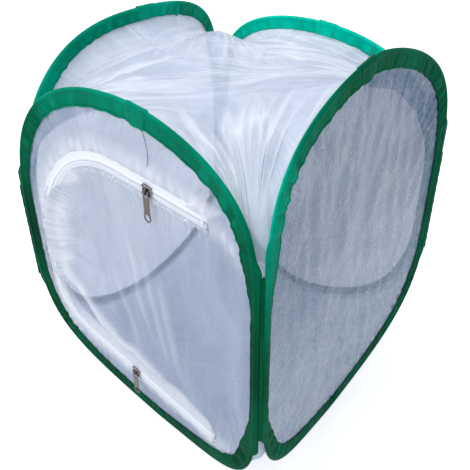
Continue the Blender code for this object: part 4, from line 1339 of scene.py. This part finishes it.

# The door's net flap
# In the flap, pale is the fold height at which a fold ridge is painted fully pale, a painted highlight.
flap = dict(
    rows=44, bulge=-0.0034, gather=0.00095, gatherLength=(0.0042, 0.0100), gatherReach=0.013, pale=0.0028,
    sway=0.0010, swayLength=(0.03, 0.10), raised=0.0017, puffAt=0.270, puffLong=0.060, puffReach=0.0100,
    puffRise=0.0034,
)
flapFolds = (
    # start, end, width, height: soft bulges by the free side and along its foot, then faint uprights
    ((-0.108, 0.215), (-0.106, 0.160), 0.0065, 0.0050), ((-0.109, 0.158), (-0.097, 0.122), 0.0055, 0.0052),
    ((-0.108, 0.160), (-0.052, 0.150), 0.0060, -0.0040), ((-0.104, 0.186), (-0.060, 0.178), 0.0090, -0.0030),
    ((-0.096, 0.126), (-0.058, 0.092), 0.0055, 0.0048), ((-0.086, 0.124), (-0.030, 0.094), 0.0070, -0.0034),
    ((-0.062, 0.096), (-0.018, 0.083), 0.0050, 0.0042), ((-0.022, 0.088), (0.030, 0.076), 0.0050, 0.0030),
    ((-0.104, 0.235), (-0.062, 0.258), 0.0080, 0.0040), ((-0.094, 0.222), (-0.044, 0.246), 0.0100, -0.0024),
    ((-0.010, 0.215), (0.010, 0.120), 0.004, 0.0012), ((0.008, 0.205), (0.030, 0.105), 0.004, 0.0013),
    ((0.026, 0.190), (0.046, 0.095), 0.005, 0.0011), ((-0.030, 0.170), (-0.008, 0.090), 0.005, 0.0010),
    ((0.050, 0.160), (0.062, 0.075), 0.005, -0.0010), ((-0.002, 0.150), (0.018, 0.075), 0.003, -0.0009),
)


def addFlap():
    edge = track - trackNormal * door["clothEdge"]
    edge[:, 0] = np.minimum(edge[:, 0], door["hinge"] - frontWall["hingeGap"])
    back = np.linspace(0, 1, 70)[1:-1, None]
    loop = np.vstack([edge, edge[-1] * (1 - back) + edge[0] * back])
    middle = np.array(door["middle"])
    shares = np.linspace(0, 1, flap["rows"], endpoint=False) ** 1.3
    flat = loop[None] + (middle - loop)[None] * shares[:, None, None]
    far = np.linalg.norm(loop - middle, axis=1)
    reach = far[None] * shares[:, None]
    rest = np.zeros(len(loop) - len(edge))
    zipped = np.append(np.ones(len(edge)), rest)
    arcs = np.append(trackArcs, rest)
    plain = onDoor(flat)
    area = sheetArea(plain, onDoor(middle))
    hinged = smooth(door["hinge"] - flat[..., 0], 0.0, 0.025)
    n = flap["bulge"] * (1 - (1 - np.minimum(reach / 0.07, 1.0)) ** 2) * hinged
    crowd = np.exp(-((trackArcs - 0.250) / 0.060) ** 2) + 0.35 + 0.65 * (1 - smooth(trackArcs, 0.14, 0.20))
    crowd = np.append(crowd, rest)
    wave = waves(arcs[None] + 0.5 * reach, flap["gatherLength"], 91, 7) * (zipped * crowd)[None]
    gathers = wave * flap["gather"] * smooth(reach, 0.0, 0.003) * np.exp(-reach / flap["gatherReach"])
    # The doubled edge beside the zip is broad along the foot and narrow along the top.
    along = smooth(arcs, 0.30, 0.42)
    doubled = 1 - smooth(reach, 0.003 + 0.009 * along, 0.008 + 0.013 * along)
    doubled = doubled * zipped * (0.40 + 0.50 * along)
    x, z = flat[..., 0], flat[..., 1]
    sway = flap["sway"] * ripples(x, z, flap["swayLength"], 93, 8)
    ridges = sumFolds(x, z, flapFolds)
    over = flap["raised"] * zipped * (1 - smooth(reach, 0.0045, 0.0090))
    n = n + gathers + over + (sway + ridges) * smooth(reach, 0.0, 0.018) * hinged
    puff = zipped * np.exp(-((arcs - flap["puffAt"]) / flap["puffLong"]) ** 4)
    puff = puff * (1 + 0.22 * waves(arcs, (0.020, 0.050), 97, 5))
    shift = flap["puffReach"] * puff * (reach / 0.0032) * np.exp(1 - reach / 0.0032)
    n = n + flap["puffRise"] * puff * (reach / 0.0055) * np.exp(1 - reach / 0.0055)
    doubled = np.maximum(doubled, puff * (1 - smooth(reach, 0.010, 0.026)))
    away = np.vstack([trackNormal, np.zeros((len(loop) - len(edge), 2))])
    centreSway = float(ripples(middle[:1], middle[1:], flap["swayLength"], 93, 8)[0])
    centreN = flap["bulge"] + flap["sway"] * centreSway
    # Paler where the net is doubled; the gathers' crests and the raised fold ridges are painted paler too, a
    # painted highlight.
    pale = np.maximum(0.9 * np.maximum(gathers, 0.0) / flap["gather"] + doubled, ridges / flap["pale"])
    points = onDoor(flat + away[None] * shift[..., None], n)
    piece = makeGrid("door_flap_net", points, wrapped(flat), netFront, wrapColumns=True,
                     middle=(onDoor(middle, centreN), middle), facing=outwards["front"],
                     marks=dict(gather=np.clip(pale, 0, 1)))
    handOver(piece, "door_flap", "door")
    wide, tall = float(np.ptp(loop[:, 0])), float(np.ptp(loop[:, 1]))
    area = min(area, wide * tall)


addFlap()
print("front wall and door flap built")

# Zip: two woven tapes, ribbed coils, stops
zipTape = dict(
    inner=0.00055, outer=0.0078, low=0.00052, high=0.00108, ruffle=0.00018, frayed=0.00022, valley=0.00016,
    roundEnd=0.009, seamSpacing=0.0028,
)
coil = dict(inner=0.00030, outer=0.0024, low=0.00118, high=0.0018, pitch=0.00125, wire=0.00040)


def trackBand(t, across, n, trim):
    flat = track[:, None] + trackNormal[:, None] * (np.asarray(across) * t)[..., :, None]
    flat = np.broadcast_to(flat, (len(track), flat.shape[1], 2)).copy()
    flat[..., 0] = np.minimum(flat[..., 0], door["hinge"] - trim)
    return onDoor(flat, n)


def addZipTape(name, node, t, trim, body):
    across = np.array((0.0, 0.12, 0.35, 0.6, 0.82, 0.94, 1.0))
    reach = zipTape["inner"] + (zipTape["outer"] - zipTape["inner"]) * across
    edge = zipTape["frayed"] * waves(trackArcs, (0.012, 0.03), 101 + t, 5)[:, None]
    edge = edge * smooth(across, 0.7, 1.0)[None]
    ruffle = zipTape["ruffle"] * waves(trackArcs, (0.010, 0.030), 111 + t, 6)[:, None] * (across ** 2)[None]
    # The seam's row lies in a shallow valley.
    high = zipTape["high"] + ruffle - zipTape["valley"] * np.exp(-((across - 0.82) / 0.06) ** 2)
    low = np.maximum(zipTape["low"] + ruffle, 0.0003)
    fromEnd = np.minimum(trackArcs, trackLength - trackArcs)
    ends = np.sqrt(np.clip(1 - (1 - np.minimum(fromEnd / zipTape["roundEnd"], 1.0)) ** 2, 0.12, 1.0))
    outerReach = zipTape["inner"] + (reach[None] + edge - zipTape["inner"]) * ends[:, None]
    points = np.hstack([trackBand(t, outerReach, high, trim), trackBand(t, outerReach, low, trim)[:, ::-1]])
    uv = uvGrid(trackArcs, np.concatenate([reach, reach[::-1] + 0.009, [0.017]]))
    tape = makeGrid(name + "_cloth", points, uv, zipFinish, wrapColumns=True, caps=True)
    row = trackBand(t, np.broadcast_to(reach[4], (len(track), 1)), high[:, 4:5] + 0.0001, trim + 0.003)[:, 0]
    line = [(row[4:-4], doorFacing(track)[4:-4])]
    seams = itemsAlong(name + "_seam", line, stitchItem, zipTape["seamSpacing"], paleThread, 0.08, 7)
    piece = joinPieces(name, [tape, seams])
    handOver(piece, node, body)


# One rib of the coil: a loop of nylon that starts at the tape, arches over and turns down at the middle.
def makeRib(t):
    s = np.linspace(0, 1, 8)
    width = coil["outer"] - coil["inner"]
    y = (coil["inner"] + width * (1 - s)) * t
    rise = coil["high"] - coil["low"] - 0.0002 - coil["wire"] * 0.5
    z = coil["low"] + 0.0002 + rise * np.sin(np.pi * np.minimum(s * 1.15, 1.0)) ** 0.45
    z[-1] = coil["low"] + 0.0001
    path = np.stack([0.00012 * np.sin(np.pi * s * 2), y, z], axis=1)
    radius = coil["wire"] * np.array((0.8, 1, 1, 1, 1, 1.1, 1.25, 0.8))
    return makeTube("rib", path, radius, 6, sideways, coilFinish, s * width, 0.0004)


def addCoil(name, node, t, trim, body):
    # The item's Y points away from the track's line, so both rows share one path with its own facing.
    start, stop = 3, len(track) - 3
    line = onDoor(track)[start:stop]
    facing = doorFacing(track)[start:stop]
    tangent = unit(np.gradient(line, axis=0))
    across = np.cross(facing, tangent)
    outwardSide = onDoor(track + trackNormal * 0.001)[start:stop] - line
    way = 1.0 if (across * outwardSide).sum() > 0 else -1.0
    rib = hideItem(makeRib(t * way))
    if t < 0:
        line = line + tangent * coil["pitch"] / 2
    ribs = itemsAlong(name + "_ribs", [(line, facing)], rib, coil["pitch"], coilFinish, 0.03, 9)
    share = np.broadcast_to((0.0, 0.3, 0.7, 1.0), (len(track), 4))
    reach = coil["inner"] + 0.0004 + (coil["outer"] - coil["inner"] - 0.0004) * share
    top = trackBand(t, reach, coil["low"] + 0.00032, trim)
    under = trackBand(t, reach, zipTape["high"] - 0.0002, trim)[:, ::-1]
    uv = uvGrid(trackArcs, np.arange(9) * 0.0006)
    core = makeGrid(name + "_core", np.hstack([top, under]), uv, coilFinish, wrapColumns=True, caps=True)
    piece = joinPieces(name, [core, ribs])
    handOver(piece, node, body)


addZipTape("zip_outer_tape", "zip_tape_outer", 1, 0.0, "front")
addZipTape("zip_inner_tape", "zip_tape_inner", -1, 0.0012, "door")
addCoil("zip_outer_coil", "zip_coil_outer", 1, 0.0012, "front")
addCoil("zip_inner_coil", "zip_coil_inner", -1, 0.0012, "door")
print("zip tapes and coils built")

# Sliders and pulls
slider = dict(
    topAt=0.031, footAt=-0.012, half=0.0055, pivot=0.0042, shoulder=0.0043, mouth=0.0012, notch=0.0016,
    # Half thickness, bevel, its steps and height
    top=(0.00050, 0.00030, 4, 0.0029), under=(0.00036, 0.00020, 3, -0.00095),
    post=(0.0019, 0.0001, 1, 0.00095), postBack=0.0021, postFront=0.0006,
    railIn=0.00030, railHigh=0.00205, railRadius=0.00042, bailHigh=0.0032, bailWide=0.00175,
    bailRise=0.00245, bailRadius=0.00042, ridgeAt=0.0030, ridgeWide=0.0012, ridgeRise=0.00085,
    ridgeRadius=0.00036,
)
pull = dict(
    length=0.027, half=0.0039, hole=0.0028, holeIn=0.0045, slotHalf=0.0016, slotTop=-0.00045,
    slotLow=-0.0062, thick=0.00042, bevel=0.00016, rimAt=0.00045, rimWide=0.00034, rimHigh=0.00016,
    side=((0.0029, -0.0004), (0.0031, -0.0022), (0.0031, -0.0080), (0.0030, -0.0150)),
    panel=((-0.0020, -0.0080), (0.0020, -0.0080), (0.0019, -0.0168), (0.0, -0.0178), (-0.0019, -0.0168)),
    panelThick=0.00022, panelBevel=0.00012, panelSunk=0.00006,
)
stop = dict(inset=0.0035, half=0.0031, low=0.0021, rise=0.0007, radius=0.00034, squash=3.2)


def runFrame(first, last, at):
    first, last = (np.array(p, float) for p in sorted((first, last)))
    run = unit(last - first)
    middle = first + run * (at - first[0]) / run[0]
    along = sideways * run[0] + up * run[1]
    face = outwards["front"]
    return onDoor(middle), along, face, unit(np.cross(face, along))


# A plate from flat outlines: the first is its edge and the others are holes.
def makePlate(name, outlines, half, bevel, material, steps=3):
    data = bpy.data.curves.new(name, "CURVE")
    data.dimensions = "2D"
    data.fill_mode = "BOTH"
    for outline in outlines:
        spline = data.splines.new("POLY")
        spline.points.add(len(outline) - 1)
        for point, (x, y) in zip(spline.points, outline):
            point.co = (x, y, 0.0, 1.0)
        spline.use_cyclic_u = True
    data.extrude = half - bevel
    data.bevel_depth = bevel
    data.bevel_resolution = steps
    data.offset = -bevel
    shape = addObject(name, data)
    mesh = meshOf(shape)
    bpy.data.objects.remove(shape, do_unlink=True)
    work = bmesh.new()
    work.from_mesh(mesh)
    bmesh.ops.remove_doubles(work, verts=work.verts, dist=1e-6)
    bmesh.ops.recalc_face_normals(work, faces=work.faces)
    mark = work.verts.layers.float.new("edge")
    for vert in work.verts:
        vert[mark] = 1.0 if abs(vert.co.z) < half * 0.97 else 0.0
    for face in work.faces:
        face.smooth = len(face.verts) == 4
    work.to_mesh(mesh)
    work.free()
    mesh.materials.clear()
    mesh.materials.append(material)
    return addObject(name, mesh)


def placeMesh(piece, origin, x, y, z):
    turn = Matrix((Vector(x), Vector(y), Vector(z))).transposed()
    piece.data.transform(Matrix.Translation(Vector(origin)) @ turn.to_4x4())
    if turn.determinant() < 0:
        piece.data.flip_normals()
    return piece


def addSlider(node, run, at, body):
    middle, along, face, across = runFrame(*run, at)
    half, mouth = slider["half"], slider["mouth"]
    s = np.linspace(0, 1, 15)
    # Broad shoulders where the two coils part, narrow where they come out joined.
    shoulder = slider["shoulder"] - 0.0011 * smooth(s, 0.25, 1.0) - 0.0012 * smooth(s, 0.88, 1.0)
    shoulder = shoulder - 0.0009 * (1 - smooth(s, 0.0, 0.12))
    x = -half + 2 * half * s
    plan = list(zip(x, shoulder)) + [(half + 0.0002, mouth), (half + 0.0002, -mouth)]
    plan += list(zip(x[::-1], -shoulder[::-1])) + [(-half + slider["notch"], 0.0)]
    back, front = half - slider["postBack"], half - slider["postFront"]
    post = [(back, -0.0003), (front, -0.0004), (front, 0.0004), (back, 0.0003)]
    parts = []
    for label, outline in (("top", plan), ("under", plan), ("post", post)):
        thick, bevel, steps, high = slider[label]
        parts.append((makePlate(node + "_" + label, [outline], thick, bevel, gunmetal, steps), high))
    # Two rails, a bail that arches across and carries the pull's bar, and a ridge on each side of it.
    turn, ring = np.linspace(-0.18, np.pi + 0.18, 25), np.linspace(-0.1, np.pi + 0.1, 15)
    wide = slider["bailWide"] * np.cos(turn) * (1 + 0.06 * np.sin(turn))
    tubes = [
        ((x[1:-1], (shoulder[1:-1] - slider["railIn"]) * t, 0 * x[1:-1] + slider["railHigh"]),
         slider["railRadius"], 8, up, x[1:-1], 1.7) for t in (-1, 1)
    ]
    tubes.append(((0 * turn, wide, slider["bailHigh"] + slider["bailRise"] * np.sin(turn)),
                  slider["bailRadius"] * (1 + 0.25 * np.sin(turn)), 10, sideways, turn * 0.002, 2.2))
    tubes += [
        ((0 * ring + place, slider["ridgeWide"] * np.cos(ring),
          slider["bailHigh"] + slider["ridgeRise"] * np.sin(ring)),
         slider["ridgeRadius"], 8, sideways, ring * 0.001, 1.6)
        for place in (-slider["ridgeAt"], slider["ridgeAt"])
    ]
    for path, radius, sides, facing, alongs, squash in tubes:
        path = np.stack(path, axis=1)
        tube = makeTube(node + "_tube", path, radius, sides, facing, gunmetal, alongs, 0.0003, squash)
        parts.append((tube, 0.0))
    placed = [placeMesh(part, middle + face * high, along, across, face) for part, high in parts]
    handOver(joinPieces(node + "_body", placed), node, body)
    return middle, face


def addPull(node, middle, face, body):
    low = pull["holeIn"] - pull["length"]
    turn = np.radians(np.linspace(28, -208, 40))
    side = list(pull["side"])
    edge = [(-0.0024, 0.0004), (0.0024, 0.0004)] + side
    edge += list(zip(pull["half"] * np.cos(turn), low + pull["half"] * np.sin(turn)))
    edge += [(-x, y) for x, y in side[::-1]]
    ring = turns(32)
    hole = list(zip(pull["hole"] * np.cos(ring), low + pull["hole"] * np.sin(ring)))
    wide, foot = pull["slotHalf"], pull["slotLow"]
    bow = np.linspace(0, np.pi, 12)
    slot = [(wide, pull["slotTop"]), (-wide, pull["slotTop"])]
    slot += [(-wide * math.cos(a), foot + wide - wide * math.sin(a)) for a in bow]
    parts = [makePlate(node + "_plate", [edge, hole, slot], pull["thick"], pull["bevel"], pullMetal, 3)]
    # A raised rim round the hole and a low panel on both faces.
    for way in (1, -1):
        a = turns(8)
        wide = pull["hole"] + pull["rimAt"] + pull["rimWide"] * np.cos(a)
        high = np.broadcast_to(way * pull["thick"] + pull["rimHigh"] * np.sin(a), (len(ring), 8))
        rim = np.stack([wide * np.cos(ring)[:, None], low + wide * np.sin(ring)[:, None], high], axis=-1)
        uv = uvGrid(np.arange(33) * 0.0005, np.arange(9) * 0.0003)
        parts.append(makeGrid(node + "_rim", rim, uv, gunmetal, wrapRows=True, wrapColumns=True))
        raised = makePlate(
            node + "_panel", [pull["panel"]], pull["panelThick"], pull["panelBevel"], pullMetal, 2,
        )
        raised.data.transform(Matrix.Translation((0, 0, way * (pull["thick"] - pull["panelSunk"]))))
        parts.append(raised)
    tab = joinPieces(node + "_tab", parts)
    placeMesh(tab, middle + face * slider["pivot"], sideways, up, face)
    handOver(tab, node, body)


def addStop(node, run):
    middle, along, face, across = runFrame(*run, door["hinge"] - stop["inset"])
    t = np.linspace(-np.pi / 2, np.pi / 2, 11)
    clip = np.stack([0 * t, stop["half"] * np.sin(t), stop["low"] + stop["rise"] * np.cos(t)], axis=1)
    piece = makeTube(
        node + "_clip", clip, stop["radius"], 8, sideways, stopFinish, t * 0.003, 0.0003, stop["squash"],
    )
    placeMesh(piece, middle, along, across, face)
    handOver(piece, node, "front")


for which, run, at in (("upper", door["top"], slider["topAt"]), ("lower", door["foot"], slider["footAt"])):
    middle, face = addSlider("slider_" + which, run, at, "slider_" + which)
    addPull("pull_" + which, middle, face, "pull_" + which)
    addStop("zip_stop_" + which, run)
print("sliders, pulls and stops built")

# Roof and floor nets, stretched between the four hoops
cover = dict(
    spacing=0.0042, depth=0.0148, floorDepth=0.0072, cornerDepth=0.0038, taper=0.034, clearance=0.003,
    inset=0.0002, cornerInset=0.0015, tuck=0.0016, limit=0.004, floorLevel=0.0008, sheet=0.34,
    sag=dict(roof=0.004, floor=0.032), gather=0.0011, sway=0.0010, evenFrom=0.955,
    shares=np.concatenate([[1.0, 0.985, 0.965, 0.945, 0.92], np.linspace(0.89, 0.03, 38)]),
)
# Fans of wrinkles that run from a corner: its place, how many, how high, how far, and which way it points.
roofFans = (
    ((0.138, 0.140), 10.0, 0.0016, 0.26, (-0.95, -0.42)),
    ((0.150, -0.150), 6.5, 0.0014, 0.17, (-0.62, 0.78)),
    ((-0.150, -0.150), 8.0, 0.0013, 0.18, (0.80, 0.60)),
    ((-0.165, 0.150), 8.0, 0.0014, 0.18, (0.75, -0.66)),
)
roofFolds = (
    # start, end, width, height: sharper creases on the main folds and between them
    ((0.105, 0.118), (-0.050, 0.105), 0.0035, 0.0018), ((0.110, 0.100), (-0.020, 0.070), 0.0035, 0.0016),
    ((0.115, 0.085), (0.040, 0.010), 0.0040, 0.0016), ((0.125, -0.095), (0.070, 0.000), 0.0050, 0.0020),
    ((0.105, -0.125), (0.010, -0.080), 0.0045, -0.0018), ((0.030, 0.125), (-0.075, 0.090), 0.0035, 0.0016),
    ((-0.120, -0.060), (0.020, -0.030), 0.0040, 0.0015), ((-0.125, -0.020), (0.010, 0.010), 0.0035, 0.0014),
    ((-0.130, 0.050), (-0.020, 0.060), 0.0040, -0.0014), ((-0.095, -0.110), (-0.055, 0.010), 0.0045, 0.0016),
    ((-0.120, 0.085), (-0.055, 0.020), 0.0035, 0.0015), ((0.065, -0.130), (0.030, -0.060), 0.0040, 0.0013),
)


def coverRim(above):
    loop = []
    for name, field in fields.items():
        arcs = hoopArcs(name, int(field["total"] / cover["spacing"]))
        flat = readField(field, "flat", arcs)
        spans = np.array([seamEnds[(name, 1 if u > 0 else -1)] for u in flat[:, 0]])
        past = flat[:, 1] - spans[:, 1] if above else spans[:, 0] - flat[:, 1]
        keep = np.flatnonzero(past > cover["clearance"])
        keep = keep[np.argsort(flat[keep, 0])]
        share = smooth(past[keep], cover["clearance"], cover["taper"])
        deepest = cover["depth"] - cover["tuck"] if above else cover["floorDepth"]
        depth = cover["cornerDepth"] + (deepest - cover["cornerDepth"]) * share
        inset = cover["cornerInset"] + (cover["inset"] - cover["cornerInset"]) * (share if above else 0.0)
        loop.append(fromHoop(name, arcs[keep], depth, -inset))
    return np.vstack(loop)


def fanWrinkles(x, y, seed):
    total = np.zeros_like(x)
    for number, (place, count, height, far, aim) in enumerate(roofFans):
        rng = np.random.default_rng(seed + number)
        dx, dy = x - place[0], y - place[1]
        distance = np.hypot(dx, dy)
        turn = np.arctan2(aim[0] * dy - aim[1] * dx, aim[0] * dx + aim[1] * dy)
        turn = turn + 0.10 * ripples(x, y, (0.06, 0.16), seed + 40 + number, 5)
        wave = sum(np.cos(count * k * turn + rng.uniform(0, 6.28)) / k ** 0.8 for k in (1, 1.7, 2.6, 3.9))
        wave = wave * riseAndFall(distance, 0.010, 0.055, far * 0.5, far * 1.35)
        total = total + height * 0.45 * wave * np.exp(-(turn / 0.95) ** 2)
    return total


def addCover(name, node, above, sag):
    rim = coverRim(above)
    angles = np.arctan2(rim[:, 1], rim[:, 0])
    gaps = np.abs(np.remainder(np.roll(angles, -1) - np.roll(angles, 1) + np.pi, 2 * np.pi) - np.pi)

    # The height of a stretched skin at these angles, from the rim's own heights.
    def evened(share, turn):
        spread = 1 - 2 * share * np.cos(turn[:, None] - angles[None]) + share ** 2
        kernel = gaps * (1 - share ** 2) / spread
        return (kernel @ rim[:, 2]) / kernel.sum(1) - sag * (1 - share ** 2)

    # Inside this share of the rim the net is even, and outside it runs straight out to the rim.
    shares, evenFrom = cover["shares"], cover["evenFrom"]
    rows = []
    for share in shares:
        z = evened(min(share, evenFrom), angles)
        if share >= evenFrom:
            z = rim[:, 2] + (z - rim[:, 2]) * (1 - share) / (1 - evenFrom)
        rows.append(np.stack([rim[:, 0] * share, rim[:, 1] * share, z], axis=1))
    points = np.stack(rows)
    middle = np.array((0.0, 0.0, float(evened(0.0, np.zeros(1))[0])))
    x, y = points[..., 0], points[..., 1]
    inner = np.broadcast_to((1 - shares)[:, None], x.shape)
    half = cage["side"] / 2
    if above:
        raised = mainFold("roof", x, y, half, half) * smooth(inner, 0.0, mainFolds["rimFade"])
        points = points + up * raised[..., None]
        middle = middle + up * float(mainFold("roof", 0.0, 0.0, half, half))
    area = sheetArea(points, middle)
    fade = smooth(inner, 0.0, 0.10)
    gathers = cover["gather"] * waves(lengthsAlong(rim), (0.010, 0.026), 141 if above else 151, 9)[None]
    gathers = gathers * smooth(inner, 0.0, 0.03) * np.exp(-inner / 0.12)
    lift = cover["sway"] * ripples(x, y, (0.04, 0.12), 161 if above else 171, 9)
    if above:
        lift = lift + fanWrinkles(x, y, 181) + sumFolds(x, y, roofFolds)
    else:
        lift = lift + 0.6 * fanWrinkles(-x, y, 191)
    total = np.clip(gathers + lift * fade, -cover["limit"], cover["limit"])
    points = points + up * total[..., None]
    if not above:
        points[..., 2] = np.maximum(points[..., 2], cover["floorLevel"])
        middle[2] = max(middle[2], cover["floorLevel"])
    piece = makeGrid(name, points, wrapped(points[..., :2]), netRoof, wrapColumns=True,
                     middle=(middle, (0.0, 0.0)), facing=up if above else -up,
                     marks=dict(gather=np.clip(np.abs(gathers) / 0.0016, 0, 1)))
    handOver(piece, node)
    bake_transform(piece)


addCover("roof_net", "top_mesh", True, cover["sag"]["roof"])
addCover("floor_net", "bottom_mesh", False, cover["sag"]["floor"])
print("roof and floor nets built")


# A loose sewing thread at the front joint
thread = dict(
    past=0.0085, depth=0.0150, offset=0.0014, drop=0.0305, sway=0.0060, turnBack=0.0062, bow=0.0006,
    diameter=0.00044,
)


def addThread():
    start = fromHoop("front", fields["front"]["lapAt"] + thread["past"], thread["depth"], thread["offset"])
    t = np.linspace(0, 1, 40)
    x = thread["sway"] * np.sin(np.pi * 0.62 * t) - thread["turnBack"] * t ** 3
    bow = outwards["front"] * (thread["bow"] * np.sin(np.pi * t))[:, None]
    path = start + sideways * x[:, None] - up * (thread["drop"] * t)[:, None] + bow
    length = float(lengthsAlong(path)[-1])
    radius = thread["diameter"] / 2
    piece = makeTube("loose_thread", path, radius, 8, outwards["front"], darkThread, t * length, 0.0002)
    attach(piece, "front")


addThread()

# Floor, light and background
studio = dict(floor=(0.86, 0.89), glow=0.55, far=6.0, level=-0.0004, look=(0.0, 0.0, 0.17))
# The world's light, and the plain white that the camera sees
skies = (((0.93, 0.985, 1.09, 1.0), 0.73), ((1.0, 1.0, 1.0, 1.0), 1.0))
# Power, size and place
lamps = dict(key=(10.6, 1.1, (-0.45, -0.55, 1.55)), fill=(3.0, 1.4, (1.5, -0.9, 0.9)))


def seenRay():
    kinds = ("Is Camera Ray", "Is Glossy Ray", "Is Transmission Ray")
    first, second, third = (build("ShaderNodeLightPath", {}, kind) for kind in kinds)
    return calc("MAXIMUM", first, calc("MAXIMUM", second, third))


def addStudio():
    mesh = bpy.data.meshes.new("studio_floor")
    far, level = studio["far"], studio["level"]
    corners = [(x * far, y * far, level) for x, y in ((-1, -1), (1, -1), (1, 1), (-1, 1))]
    mesh.from_pydata(corners, [], [(0, 1, 2, 3)])
    floor = addObject("studio_floor", mesh)
    material = startMaterial("pale floor")[0]
    speck = noise(build("ShaderNodeTexCoord", {}, "Object"), 60.0, 4.0, 0.6)
    tones = [(tone,) * 3 + (1.0,) for tone in studio["floor"]]
    mesh.materials.append(dress(material, {
        "Base Color": mixColours(speck, *tones), "Roughness": 0.9, "Specular IOR Level": 0.0,
        "Emission Strength": seenRay() * studio["glow"], "Emission Color": (1.0, 1.0, 1.0, 1.0),
    }))
    world = scene.world = bpy.data.worlds.new("studio")
    world.use_nodes = True
    tree = shader["tree"] = world.node_tree
    tree.nodes.clear()
    light, white = (
        addNode(tree, "ShaderNodeBackground", dict(Color=colour, Strength=strength)).outputs[0]
        for colour, strength in skies
    )
    both = addNode(tree, "ShaderNodeMixShader", {0: seenRay(), 1: light, 2: white}).outputs[0]
    addNode(tree, "ShaderNodeOutputWorld", {0: both})
    for name, (power, size, place) in lamps.items():
        data = bpy.data.lights.new(name, "AREA")
        data.energy, data.size = power, size
        lamp = addObject(name, data)
        lamp.location = place
        lamp.rotation_euler = (Vector(studio["look"]) - Vector(place)).to_track_quat("-Z", "Y").to_euler()


addStudio()
print("studio built")
bpy.context.view_layer.update()
